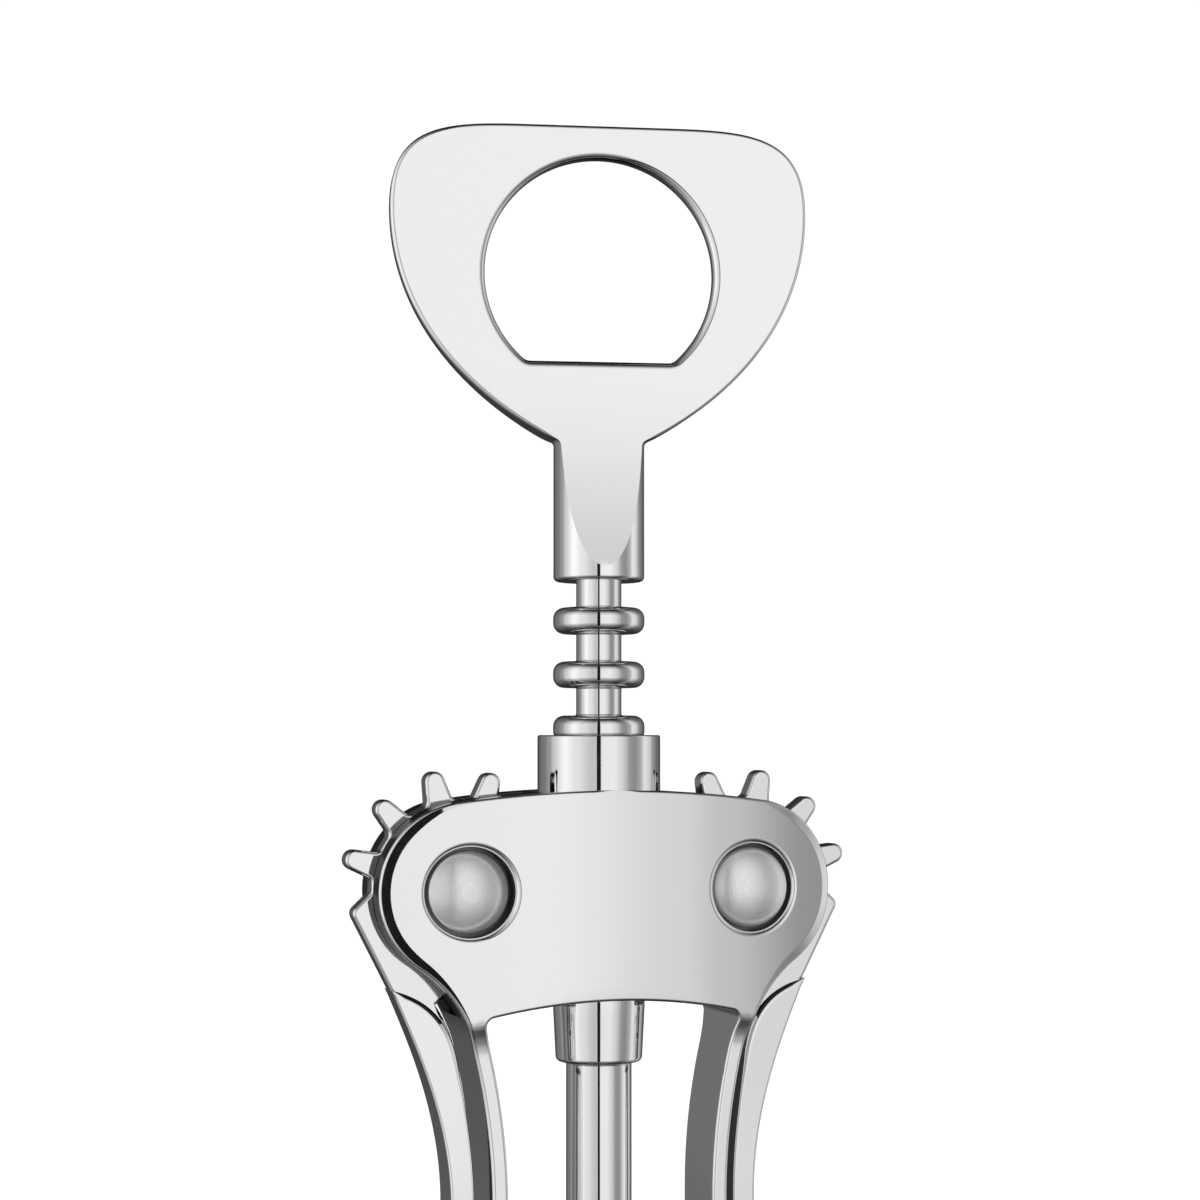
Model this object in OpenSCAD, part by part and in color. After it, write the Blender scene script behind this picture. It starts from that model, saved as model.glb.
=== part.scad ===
// Wing corkscrew with a bottle opener in its handle.
// It stands on its bell. +Z is up, -Y is its front, and the origin is the middle of the bell's rim.
// Lengths are in millimetres and angles in degrees.

/* [Frame] */
// Height of the arm pivots above the rim of the bell
pivot_z = 87.4; // [75:0.1:100]
// Distance of each arm pivot from the middle of the tool
pivot_x = 20.5; // [18.5:0.1:23]
// Depth of the head at its middle, front to back
head_d = 17.3; // [16:0.1:21]
// Radius of the bowed front and back faces of the head
head_bow_r = 165; // [120:1:300]
// Rise of the head's top edge above the pivots, at its middle
head_rise = 13.8; // [13:0.1:16]
// Drop of the head's lower edge below the pivots, at its middle
head_drop = 15.2; // [14:0.1:18]
// Fall of the window's top edge from its middle out to under the pivots
window_sag = 2.6; // [1:0.1:3]
// Radius of the window's upper corners
window_corner_r = 1.2; // [0.5:0.1:3]
// Radius of the head's round cheeks about the pivots
cheek_r = 12.4; // [10:0.1:12.8]
// Radius of the hollow between a cheek and its leg
hollow_r = 18; // [12:0.5:24]
// Radius of each leg's long bend
leg_bend_r = 90; // [70:1:120]
// Height at which the legs' long bend ends and they run straight down
leg_bend_z = 44; // [36:0.5:50]
// Thickness of a leg, side to side
leg_t = 2.2; // [1.6:0.1:3]
// Width of a leg, front to back
leg_w = 12; // [8:0.5:14]
// Outer diameter of the collar
collar_d = 17.3; // [15.5:0.1:20]
// Rise of the collar's top above the pivots
collar_rise = 21.4; // [17:0.1:26]
// Width of the slot that each gear turns in
slot_w = 3.5; // [2.5:0.1:5]

/* [Bell] */
// Height of the bell
bell_h = 26; // [20:0.5:32]
// Thickness of the bell's wall
bell_wall = 2.4; // [1.6:0.1:4]
// How far the bell's top reaches in over the liner. The legs rise from its edge
bell_lip = 0.8; // [0.4:0.1:1.5]
// Height of the bead round the bell's rim
bead_h = 3.2; // [2:0.1:6]
// How far the bead stands out
bead_out = 0.5; // [0.2:0.1:1.2]
// Thickness of the bell's top
bell_top_t = 3.4; // [2:0.1:5]

/* [Bell liner] */
// Diameter of the liner's mouth, which goes over the bottle's lip
lip_bore_d = 29.5; // [28.5:0.1:30.2]
// Depth of the liner's mouth below the stop that the bottle's lip meets
lip_depth = 11; // [7:0.5:14]
// Thickness of the liner round its mouth
lip_wall = 0.84; // [0.6:0.02:1.6]
// How far the stop stands in from the mouth's wall, round the way for the cork
stop_w = 2.05; // [1.2:0.05:2.6]
// Thickness of the stop
stop_t = 2.2; // [1.4:0.1:3.5]
// Wall of the liner above the stop
liner_wall = 1.3; // [0.9:0.1:2]

/* [Rack] */
// Diameter of the rack's rings
ring_d = 12.9; // [12:0.1:14]
// Diameter of the rack's core between the rings
core_d = 6.4; // [5.5:0.1:7]
// Number of rings
ring_count = 7; // [7:1:8]
// Distance from a ring's rim in to the pitch line of the gears
pitch_line_in = 0.465; // [0.2:0.005:0.9]
// Bare core between the top ring and the neck
rack_top_gap = 3.66; // [2:0.02:8]
// Length of the core's spigot in the neck
neck_spigot_l = 9.6; // [5:0.1:10]

/* [Gears] */
// Teeth that a whole gear of this pitch would have
gear_count = 12; // [11:1:13]
// Number of teeth on each arm's gear
tooth_count = 7; // [7:1:8]
// Height angle of the lowest meshing gap above the pivots, seen from a pivot
mesh_angle = 13; // [11:0.5:15]
// How far the teeth stand off the middle of their gaps at rest
mesh_lead = 0.5; // [0:0.1:0.8]
// Gap between a tooth's tip and the core
tip_gap = 0.3; // [0.2:0.05:0.6]
// Height of a tooth above the gear's root circle
tooth_h = 3.9; // [3.5:0.1:4.2]
// Thickness of a gear
gear_t = 3; // [2:0.1:3.2]

/* [Arms] */
// Length of an arm below its pivot
arm_l = 81.4; // [70:0.2:84]
// Gap between an arm and its leg where both run straight
arm_gap = 1.9; // [1:0.1:4]
// Thickness of an arm there, side to side
arm_t = 3.25; // [2.4:0.05:5]
// Width of an arm at its shoulder, front to back
shoulder_w = 4.4; // [3.6:0.1:6]
// Width of an arm where it runs straight, front to back
waist_w = 6.5; // [5:0.1:9]
// Width of an arm's paddle, front to back
paddle_w = 11; // [8:0.5:16]
// How far an arm's tip stands out beyond its straight stretch
arm_flare = 8.4; // [4:0.2:14]
// Distance of an arm's shoulder corner outwards from the pivot
shoulder_out = 9.85; // [9:0.05:11]
// Distance of an arm's shoulder corner below the pivot
shoulder_drop = 13.4; // [12.6:0.05:14.5]

/* [Rivets] */
// Diameter of a rivet's head
rivet_head_d = 11.3; // [9:0.1:12]
// Thickness of a rivet's head at its rim
rivet_rim_t = 1.3; // [0.8:0.1:2]
// Height of a rivet's head at its middle
rivet_head_h = 3; // [2:0.1:3.4]
// Diameter of a rivet's shank
rivet_d = 5.6; // [4.5:0.1:6.5]
// Diameter of the pin inside a rivet
rivet_pin_d = 3.2; // [2.4:0.1:3.8]
// Gap round a rivet's head in its recess
recess_gap = 0.55; // [0.3:0.05:1]
// Width of the bevel round a recess
recess_bevel = 0.8; // [0.3:0.1:1.2]
// Depth of a recess below the head's face, at the pivot
recess_depth = 3; // [2.4:0.1:3.2]

/* [Handle] */
// Width of the handle plate
plate_w = 59; // [50:0.5:70]
// Height of the handle plate above the neck
plate_h = 45.1; // [42:0.1:55]
// Thickness of the handle plate
plate_t = 3; // [2.4:0.1:4]
// Diameter of the neck
neck_d = 12.84; // [11.8:0.02:13]
// Length of the neck below the plate
neck_l = 19.5; // [15:0.1:26]
// Diameter of the opener hole
opener_d = 32.6; // [30:0.1:35]
// Height of the opener hole's middle above the foot of the plate
opener_z = 24.1; // [23:0.1:26]
// Depth of the opener's straight edge below the hole's middle
opener_edge = 12.5; // [10:0.1:14]
// How far the handle is screwed round from the front at rest
handle_turn = -10; // [-180:1:180]

/* [Spindle] */
// Outer diameter of the guide bush
bush_d = 12.6; // [11.8:0.1:12.9]
// Length of the guide bush
bush_l = 14.2; // [10:0.1:18]
// Diameter of the shaft
shaft_d = 9.2; // [8:0.1:10.5]
// Length of the shaft
shaft_l = 25; // [20:0.1:29]
// Length of the core's spigot in the shaft
shaft_spigot_l = 12; // [8:0.5:14]
// Diameter of the pin across the shaft
pin_d = 1.5; // [1:0.1:2]
// Height of the pin above the shaft's lower end
pin_rise = 2.6; // [2:0.1:5]

/* [Worm] */
// Outer diameter of the worm
worm_d = 8.6; // [7.6:0.1:9.2]
// Thickness of the worm's wire
wire_d = 2.8; // [2.2:0.1:3]
// Distance that the worm climbs in one turn
worm_pitch = 8.4; // [7:0.1:10]
// Height of the worm's point above the rim of the bell
worm_tip_z = 11.7; // [11.2:0.1:14]
// Diameter of the worm's straight shank
shank_d = 3; // [2.9:0.1:3.6]
// Length of the shank inside the shaft
shank_l = 9; // [6:0.5:10]

/* [Hidden] */
$fn = 96;

// Radial clearances of the fits: rings in the bore, arm on its rivet, bush on the core
bore_fit = 0.08;
arm_fit = 0.05;
bush_fit = 0.06;
// Clearance of pieces that are pressed or riveted together, and of pieces that only touch
press_fit = 0.01;
seat_gap = 0.1;
// Overrun of every cut past the face that it leaves
over = 1;
// Gap between the gears' swept circle and the frame
sweep_gap = 0.4;

// Bore, rack and gears
bore_r = ring_d / 2 + bore_fit;
gear_pitch_r = pivot_x - ring_d / 2 + pitch_line_in;
ring_pitch = 2 * PI * gear_pitch_r / gear_count;
ring_share = 0.487;
ring_t = ring_share * ring_pitch;
ring_round_share = 0.41;
ring_round = ring_round_share * ring_t;
low_ring_z = pivot_z + PI / 180 * mesh_angle * gear_pitch_r - ring_pitch * 3 / 2;
top_ring_z = low_ring_z + (ring_count - 1) * ring_pitch;
tip_r = pivot_x - core_d / 2 - tip_gap;
root_r = tip_r - tooth_h;
tooth_step = 360 / gear_count;
tooth_tip_share = 0.184;
tooth_root_share = 0.235;
sweep_r = tip_r + sweep_gap;

// Heights
collar_z = pivot_z + collar_rise;
head_top_z = pivot_z + head_rise;
head_low_z = pivot_z - head_drop;
neck_z = top_ring_z + ring_t / 2 + rack_top_gap;
plate_z = neck_z + neck_l;
bush_top_z = low_ring_z - ring_t / 2 - seat_gap;
bush_z = bush_top_z - bush_l;
shaft_top_z = bush_z - seat_gap;
shaft_z = shaft_top_z - shaft_l;

// Liner and bell, from the bottle's lip outwards
liner_r = lip_bore_d / 2 + lip_wall;
cork_hole_r = lip_bore_d / 2 - stop_w;
bell_bore_r = liner_r + press_fit;
bell_r = bell_bore_r + bell_wall;

// Legs, and the places of the head's face
leg_in = bell_bore_r - bell_lip;
leg_out = leg_in + leg_t;
bow_y = head_bow_r - head_d / 2;
face_y = sqrt(pow(head_bow_r, 2) - pow(pivot_x, 2)) - bow_y;
floor_y = face_y - recess_depth;
recess_r = rivet_head_d / 2 + recess_gap;

// A point on a circle
function polar(c, r, a) = c + r * [cos(a), sin(a)];
// An arc as a list of points
function arc(c, r, a0, a1, n) = [for (i = [0:n]) polar(c, r, a0 + (a1 - a0) * i / n)];
// The direction from one point to another
function heading(p, q) = atan2(q[1] - p[1], q[0] - p[0]);
// Where two circles meet, on the right of the line from the first centre to the second
function meet(p, a, q, b) =
    let (d = norm(q - p),
         along = (a * a - b * b + d * d) / (2 * d))
    polar(p, a, heading(p, q) - acos(along / a));
// A curve that leaves p0 towards p1 and reaches p3 from p2
function bend(p, n) = [for (i = [0:n]) let (t = i / n, u = 1 - t)
    u * u * u * p[0] + 3 * u * u * t * p[1] + 3 * u * t * t * p[2] + t * t * t * p[3]];
// Points spread between two corners, by shares of the way across and of the way up or down
function spread(p, q, shares) = [for (s = shares)
    [p[0] + (q[0] - p[0]) * s[0], p[1] + (q[1] - p[1]) * s[1]]];
// A list of points in the other order, and turned over about the middle line as well
function back(pts) = [for (i = [len(pts) - 1:-1:0]) pts[i]];
function flip(pts) = [for (p = back(pts)) [-p[0], p[1]]];

// A flat shape drawn in X and Z, given a depth along Y about the middle
module slab(depth) {
    translate([0, depth / 2, 0]) rotate([90, 0, 0]) linear_extrude(depth) children();
}
// A flat shape drawn in Y and Z, given a width along X about the middle
module cross_slab(width) {
    rotate([0, 0, 90]) slab(width) children();
}
// A round bar along Y about the middle
module cross_bar(r, length) {
    rotate([90, 0, 0]) cylinder(r = r, h = length, center = true);
}

// Head and legs of the frame, seen from the front
pivot_at = [pivot_x, pivot_z];
arch_r = (pow(pivot_x, 2) + pow(head_rise, 2) - pow(cheek_r, 2)) / (2 * (head_rise - cheek_r));
arch_at = [0, head_top_z - arch_r];
bend_at = [leg_out + leg_bend_r, leg_bend_z];
hollow_at = meet(pivot_at, cheek_r + hollow_r, bend_at, leg_bend_r - hollow_r);
window_r = (pow(pivot_x, 2) + pow(window_sag, 2)) / (2 * window_sag);
window_at = [0, head_low_z - window_r];
inner_bend_r = leg_bend_r + leg_t;
corner_at = meet(bend_at, inner_bend_r + window_corner_r, window_at, window_r - window_corner_r);
leg_foot_z = bell_h - bell_top_t / 2;

frame_side = concat(
    arc(arch_at, arch_r, 90, heading(arch_at, pivot_at), 8),
    arc(pivot_at, cheek_r, heading(arch_at, pivot_at), heading(pivot_at, hollow_at), 40),
    arc(hollow_at, hollow_r, heading(hollow_at, pivot_at), heading(bend_at, hollow_at), 14),
    arc(bend_at, leg_bend_r, heading(bend_at, hollow_at), 180, 8),
    [[leg_out, leg_foot_z]]);
window_side = concat(
    arc(window_at, window_r, 90, heading(window_at, corner_at), 8),
    arc(corner_at, window_corner_r, heading(window_at, corner_at), heading(corner_at, bend_at), 6),
    arc(bend_at, inner_bend_r, heading(bend_at, corner_at), 180, 10),
    [[leg_in, leg_foot_z - over]]);

// Half depth of the frame down its height: the head, a short blend, and the legs
blend_top_z = head_low_z + window_sag / 2;
blend_low_z = head_low_z - 3 * window_sag;
frame_depth = concat(
    [[head_d / 2 + over, head_top_z + over]],
    bend([[head_d / 2, blend_top_z], [head_d / 2, (blend_top_z + blend_low_z) / 2],
          [leg_w / 2, (blend_top_z + blend_low_z) / 2], [leg_w / 2, blend_low_z]], 10),
    [[leg_w / 2, leg_foot_z - over]]);

// Section of the bell, from the middle of its rim outwards and up
bead_r = bell_r + bead_out;
crown_r = bell_top_t;
bell_side = concat(
    [[bell_bore_r, 0]],
    arc([bead_r - bead_h / 4, bead_h / 4], bead_h / 4, -90, 0, 6),
    bend([[bead_r, bead_h / 2], [bead_r, bead_h], [bell_r, bead_h], [bell_r, 2 * bead_h]], 8),
    arc([bell_r - crown_r, bell_h - crown_r], crown_r, 0, 90, 12),
    [[leg_in, bell_h], [leg_in, bell_h - bell_top_t], [bell_bore_r, bell_h - bell_top_t]]);

module recess(side) {
    // The seat of a rivet's head, with its bevel and the shank's bore
    translate([side * pivot_x, 0, pivot_z]) {
        for (turn = [0, 180]) rotate([90, 0, turn]) {
            translate([0, 0, floor_y]) cylinder(r = recess_r, h = head_d);
            translate([0, 0, face_y - recess_bevel - over])
                cylinder(r1 = recess_r - over, r2 = recess_r + recess_bevel + over,
                         h = recess_bevel + 2 * over);
        }
        cross_bar(rivet_d / 2 + press_fit, head_d);
    }
}

module frame() {
    color("silver") difference() {
        union() {
            intersection() {
                slab(2 * head_d) difference() {
                    polygon(concat(frame_side, flip(frame_side)));
                    polygon(concat(window_side, flip(window_side)));
                }
                translate([0, bow_y, 0]) cylinder(r = head_bow_r, h = 2 * collar_z, $fn = 720);
                translate([0, -bow_y, 0]) cylinder(r = head_bow_r, h = 2 * collar_z, $fn = 720);
                cross_slab(4 * pivot_x) polygon(concat(frame_depth, flip(frame_depth)));
            }
            translate([0, 0, pivot_z]) cylinder(d = collar_d, h = collar_rise);
            rotate_extrude() polygon(bell_side);
        }
        translate([0, 0, head_low_z - over]) cylinder(r = bore_r, h = collar_z);
        for (side = [-1, 1]) {
            translate([side * pivot_x, 0, pivot_z]) cross_bar(sweep_r, slot_w);
            recess(side);
        }
    }
}

// Section of the liner, from its mouth up
stop_z = seat_gap + lip_depth;
liner_top_z = bell_h - bell_top_t - press_fit;
liner_side = [[lip_bore_d / 2, seat_gap], [liner_r, seat_gap], [liner_r, liner_top_z],
              [liner_r - liner_wall, liner_top_z], [liner_r - liner_wall, stop_z + stop_t],
              [cork_hole_r, stop_z + stop_t], [cork_hole_r, stop_z],
              [lip_bore_d / 2, stop_z]];

module bell_liner() {
    color("dimgray") rotate_extrude() polygon(liner_side);
}

// Radius of the round top of a rivet's head
dome_h = rivet_head_h - rivet_rim_t;
dome_r = (pow(rivet_head_d / 2, 2) + pow(dome_h, 2)) / (2 * dome_h);
dome_side = concat(
    [[0, 0], [rivet_head_d / 2, 0]],
    arc([0, rivet_head_h - dome_r], dome_r, acos(rivet_head_d / 2 / dome_r), 90, 10));

module rivet_head() {
    translate([0, 0, floor_y + press_fit]) rotate_extrude() polygon(dome_side);
}

module rivet_front(side) {
    // The hollow half, pushed in from the front
    color("gainsboro") translate([side * pivot_x, 0, pivot_z]) rotate([90, 0, 0]) difference() {
        union() {
            rivet_head();
            translate([0, 0, -floor_y]) cylinder(d = rivet_d, h = 2 * floor_y + seat_gap);
        }
        translate([0, 0, -floor_y - over]) cylinder(d = rivet_pin_d, h = 2 * floor_y + over);
    }
}

module rivet_back(side) {
    // The half with the pin, pressed in from the back
    color("gainsboro") translate([side * pivot_x, 0, pivot_z]) rotate([90, 0, 180]) {
        rivet_head();
        translate([0, 0, -floor_y + seat_gap])
            cylinder(r = rivet_pin_d / 2 - press_fit, h = 2 * floor_y + seat_gap);
    }
}

module left_rivet_front() { rivet_front(-1); }
module left_rivet_back() { rivet_back(-1); }
module right_rivet_front() { rivet_front(1); }
module right_rivet_back() { rivet_back(1); }

// One gear tooth, pointing along +X from the pivot
tooth_tip_w = tooth_tip_share * ring_pitch;
tooth_root_w = tooth_root_share * ring_pitch;
tooth_side = concat(
    [[root_r - over, -tooth_root_w]],
    [[root_r, -tooth_root_w]],
    arc([tip_r - tooth_tip_w, 0], tooth_tip_w, -90, 90, 16),
    [[root_r, tooth_root_w], [root_r - over, tooth_root_w]]);

// Corners of the right arm, seen from the front
waist_in = leg_out + arm_gap;
waist_out = waist_in + arm_t;
waist_z = leg_bend_z;
tip_in = [waist_in + arm_flare, pivot_z - arm_l];
tip_out = [waist_out + arm_flare, pivot_z - arm_l + arm_t / 2];
tip_at = (tip_in + tip_out) / 2;
tip_round = norm(tip_out - tip_in) / 2;
shoulder_at = [pivot_x + shoulder_out, pivot_z - shoulder_drop];
step_shares = [0.63, 0.66];
step_at = spread([waist_in, waist_z], [waist_out, shoulder_at[1]], [step_shares])[0];

// Curves of the arm's outline, as shares of the way between its corners
shoulder_shares = [[0, 0], [0.51, 0.11], [0.89, 0.39], [1, 1]];
inside_shares = [[0, 0], [0.32, 0.29], [1, 0.59], [1, 1]];
foot_in_shares = [[0, 0], [0, 0.26], [0.26, 0.68], [1, 1]];
foot_out_shares = [[0, 0], [0, 0.25], [0.3, 0.69], [1, 1]];
outside_shares = [[0, 0], [0, 0.42], [0.66, 0.78], [1, 1]];

lever_side = concat(
    bend(spread(shoulder_at, step_at, shoulder_shares), 12),
    bend(spread(step_at, [waist_in, waist_z], inside_shares), 10),
    bend(spread([waist_in, waist_z], tip_in, foot_in_shares), 14),
    arc(tip_at, tip_round, heading(tip_at, tip_in), heading(tip_at, tip_out), 8),
    back(bend(spread([waist_out, waist_z], tip_out, foot_out_shares), 14)),
    bend(spread([waist_out, waist_z], shoulder_at, outside_shares), 14));

// Half width of the arm, front to back, down its height
grip_shares = [[0, 0], [0.33, 0.3], [1, 0.7], [1, 1]];
paddle_shares = [[0, 0], [0, 0.45], [1, 0.6], [1, 1]];
foot_z = tip_at[1] - tip_round;
lever_depth = concat(
    [[shoulder_w / 2, shoulder_at[1] + over]],
    bend(spread([shoulder_w / 2, shoulder_at[1]], [waist_w / 2, waist_z], grip_shares), 10),
    bend(spread([waist_w / 2, waist_z], [paddle_w / 2, foot_z + paddle_w / 2], paddle_shares), 12),
    arc([0, foot_z + paddle_w / 2], paddle_w / 2, 0, -90, 12));

// The thin web that joins the gear to the lever. Its inner edge follows the frame's hollow
web_share = 0.53;
web_r = root_r + web_share * tooth_h;
step_turn = heading(hollow_at, step_at);
web_side = concat(
    [pivot_at, polar(pivot_at, root_r, 0), polar(pivot_at, web_r, -tooth_step / 3),
     shoulder_at, shoulder_at - [arm_t, arm_t]],
    arc(hollow_at, norm(step_at - hollow_at), step_turn, step_turn - tooth_step, 10),
    [polar(pivot_at, root_r, -90)]);

module arm() {
    // The right arm: its gear, the web under the gear, and the lever
    difference() {
        union() {
            translate([pivot_x, 0, pivot_z]) {
                cross_bar(root_r, gear_t);
                for (k = [0:tooth_count - 1])
                    slab(gear_t) rotate(180 - mesh_angle - mesh_lead + tooth_step * (1 - k))
                        polygon(tooth_side);
            }
            slab(gear_t) polygon(web_side);
            intersection() {
                slab(2 * paddle_w) polygon(lever_side);
                cross_slab(4 * pivot_x) polygon(concat(lever_depth, flip(lever_depth)));
            }
        }
        translate([pivot_x, 0, pivot_z]) cross_bar(rivet_d / 2 + arm_fit, head_d);
    }
}

module right_arm() { color("silver") arm(); }
module left_arm() { color("silver") mirror([1, 0, 0]) arm(); }

// Half outline of the handle plate, from the middle of its top
plate_top_z = plate_z + plate_h;
top_shares = [[0, 0], [0.39, 0.12], [1, 0.39], [1, 1]];
under_shares = [[0, 0], [0, 0.33], [0.35, 0.8], [1, 1]];
top_flat_share = 0.72;
brow_share = 0.735;
top_corner = [top_flat_share * plate_w / 2, plate_top_z];
brow_at = [plate_w / 2, plate_z + brow_share * plate_h];
plate_side = concat(
    bend(spread(top_corner, brow_at, top_shares), 12),
    bend(spread(brow_at, [neck_d / 2, plate_z], under_shares), 20),
    [[neck_d / 2, plate_z - over]]);

// Half thickness of the handle down its height: the plate, then the scooped flats of the neck
scoop_shares = [[0, 0], [0.02, 0.3], [0.19, 0.655], [1, 1]];
scoop_top_share = 0.49;
scoop_low_share = 0.1;
scoop_low = [neck_d / 2, neck_z + scoop_low_share * neck_l];
handle_depth = concat(
    [[plate_t / 2, plate_top_z + over]],
    bend(spread([plate_t / 2, plate_z + scoop_top_share * plate_h], scoop_low, scoop_shares), 20),
    [[neck_d / 2 + over, scoop_low[1]], [neck_d / 2 + over, neck_z - over]]);

// The neck's round bar
neck_round = neck_d / 18;
neck_side = concat(
    [[0, neck_z]],
    arc([neck_d / 2 - neck_round, neck_z + neck_round], neck_round, -90, 0, 6),
    [[neck_d / 2, plate_z + neck_d / 2], [0, plate_z + neck_d / 2]]);

// The opener hole, with its straight edge and the bevels of its rim
hole_z = plate_z + opener_z;
rim_bevel = plate_t / 4;

module opener_cut() {
    intersection() {
        translate([0, 0, hole_z]) cross_bar(opener_d / 2, neck_d);
        slab(neck_d) translate([-opener_d / 2, hole_z - opener_edge]) square([opener_d, opener_d + over]);
    }
    for (turn = [0, 180]) rotate([0, 0, turn]) intersection() {
        translate([0, -plate_t / 2 - over, hole_z]) rotate([-90, 0, 0])
            cylinder(r1 = opener_d / 2 + rim_bevel + over, r2 = opener_d / 2, h = rim_bevel + over);
        cross_slab(plate_w) polygon([
            [-plate_t / 2 + rim_bevel, hole_z - opener_edge],
            [-plate_t / 2 - over, hole_z - opener_edge - rim_bevel - over],
            [-plate_t / 2 - over, hole_z + opener_d], [-plate_t / 2 + rim_bevel, hole_z + opener_d]]);
    }
}

module handle() {
    color("gainsboro") rotate([0, 0, handle_turn]) difference() {
        intersection() {
            union() {
                slab(2 * neck_d) polygon(concat(plate_side, flip(plate_side)));
                rotate_extrude() polygon(neck_side);
            }
            cross_slab(2 * plate_w) polygon(concat(handle_depth, flip(handle_depth)));
        }
        opener_cut();
        translate([0, 0, neck_z - over])
            cylinder(r = core_d / 2 + press_fit, h = neck_spigot_l + over + seat_gap);
    }
}

// Section of one ring, at height 0
ring_corner = [ring_d / 2 - ring_round, ring_t / 2 - ring_round];
ring_side = concat(
    [[0, -ring_t / 2]],
    arc([ring_corner[0], -ring_corner[1]], ring_round, -90, 0, 8),
    arc(ring_corner, ring_round, 0, 90, 8),
    [[0, ring_t / 2]]);

module rack() {
    spigot_z = shaft_top_z - shaft_spigot_l;
    color("silver") {
        translate([0, 0, spigot_z]) cylinder(d = core_d, h = neck_z + neck_spigot_l - spigot_z);
        for (i = [0:ring_count - 1])
            translate([0, 0, low_ring_z + i * ring_pitch]) rotate_extrude() polygon(ring_side);
    }
}

// Section of the bush, with rounded outer edges
bush_round = bush_d / 18;
bush_side = concat(
    [[core_d / 2 + bush_fit, bush_z]],
    arc([bush_d / 2 - bush_round, bush_z + bush_round], bush_round, -90, 0, 6),
    arc([bush_d / 2 - bush_round, bush_top_z - bush_round], bush_round, 0, 90, 6),
    [[core_d / 2 + bush_fit, bush_top_z]]);

module guide_bush() {
    color("silver") rotate_extrude() polygon(bush_side);
}

shaft_chamfer = shaft_d / 18;
pin_z = shaft_z + pin_rise;

module shaft() {
    color("silver") difference() {
        union() {
            translate([0, 0, shaft_z])
                cylinder(d1 = shaft_d - 2 * shaft_chamfer, d2 = shaft_d, h = shaft_chamfer);
            translate([0, 0, shaft_z + shaft_chamfer])
                cylinder(d = shaft_d, h = shaft_l - shaft_chamfer);
        }
        translate([0, 0, shaft_top_z - shaft_spigot_l - seat_gap])
            cylinder(r = core_d / 2 + press_fit, h = shaft_spigot_l + seat_gap + over);
        translate([0, 0, shaft_z - over])
            cylinder(r = shank_d / 2 + press_fit, h = shank_l + over + seat_gap);
        translate([0, 0, pin_z]) cross_bar(pin_d / 2 + press_fit, 2 * shaft_d);
    }
}

module worm_pin() {
    color("dimgray") intersection() {
        translate([0, 0, pin_z]) cross_bar(pin_d / 2, 2 * shaft_d);
        translate([0, 0, shaft_z]) cylinder(d = shaft_d, h = shaft_l);
    }
}

// The worm's wire: it leaves the shank on the axis, winds outwards, and ends in a point
worm_top_z = shaft_z - wire_d / 4;
worm_turns = (worm_top_z - worm_tip_z) / worm_pitch;
turn_steps = 26;
wire_sides = 10;
worm_steps = round(worm_turns * turn_steps);
coil_r = (worm_d - wire_d) / 2;
lead_in_turns = 0.75;
taper_turns = 0.85;
point_share = 0.06;
function ease(t) = t * t * (3 - 2 * t);
function worm_at(n) =
    let (t = n / turn_steps, out = coil_r * ease(min(1, t / lead_in_turns)))
    [out * cos(-360 * t), out * sin(-360 * t), worm_top_z - worm_pitch * t];
function wire_r(n) =
    let (left = (worm_steps - n) / turn_steps / taper_turns)
    wire_d / 2 * (point_share + (1 - point_share) * sqrt(min(1, left)));
function unit(v) = v / norm(v);
function wire_ring(n) =
    let (along = unit(worm_at(n + 0.5) - worm_at(n - 0.5)),
         a = -360 * n / turn_steps,
         across = unit(cross(along, [-sin(a), cos(a), 0])),
         beside = cross(along, across))
    [for (i = [0:wire_sides - 1])
        worm_at(n) + wire_r(n) * (cos(360 * i / wire_sides) * across + sin(360 * i / wire_sides) * beside)];

module wire() {
    rings = [for (n = [0:worm_steps]) wire_ring(n)];
    points = [for (ring = rings) for (p = ring) p];
    sides = [for (n = [0:worm_steps - 1]) for (i = [0:wire_sides - 1])
        let (a = n * wire_sides + i, b = n * wire_sides + (i + 1) % wire_sides)
        each [[a, a + wire_sides, b], [b, a + wire_sides, b + wire_sides]]];
    last = worm_steps * wire_sides;
    ends = [[for (i = [0:wire_sides - 1]) i], [for (i = [wire_sides - 1:-1:0]) last + i]];
    polyhedron(points, concat(sides, ends));
}

module worm() {
    color("silver") {
        wire();
        difference() {
            translate([0, 0, worm_top_z - wire_d / 2])
                cylinder(d = shank_d, h = shaft_z + shank_l - worm_top_z + wire_d / 2);
            translate([0, 0, pin_z]) cross_bar(pin_d / 2 + press_fit, shaft_d);
        }
    }
}

echo(rack_travel_per_degree = PI / 180 * gear_pitch_r, ring_pitch = ring_pitch, top = plate_top_z);

frame();
bell_liner();
left_rivet_front();
left_rivet_back();
right_rivet_front();
right_rivet_back();
left_arm();
right_arm();
handle();
rack();
guide_bush();
shaft();
worm_pin();
worm();
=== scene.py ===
import math

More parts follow.
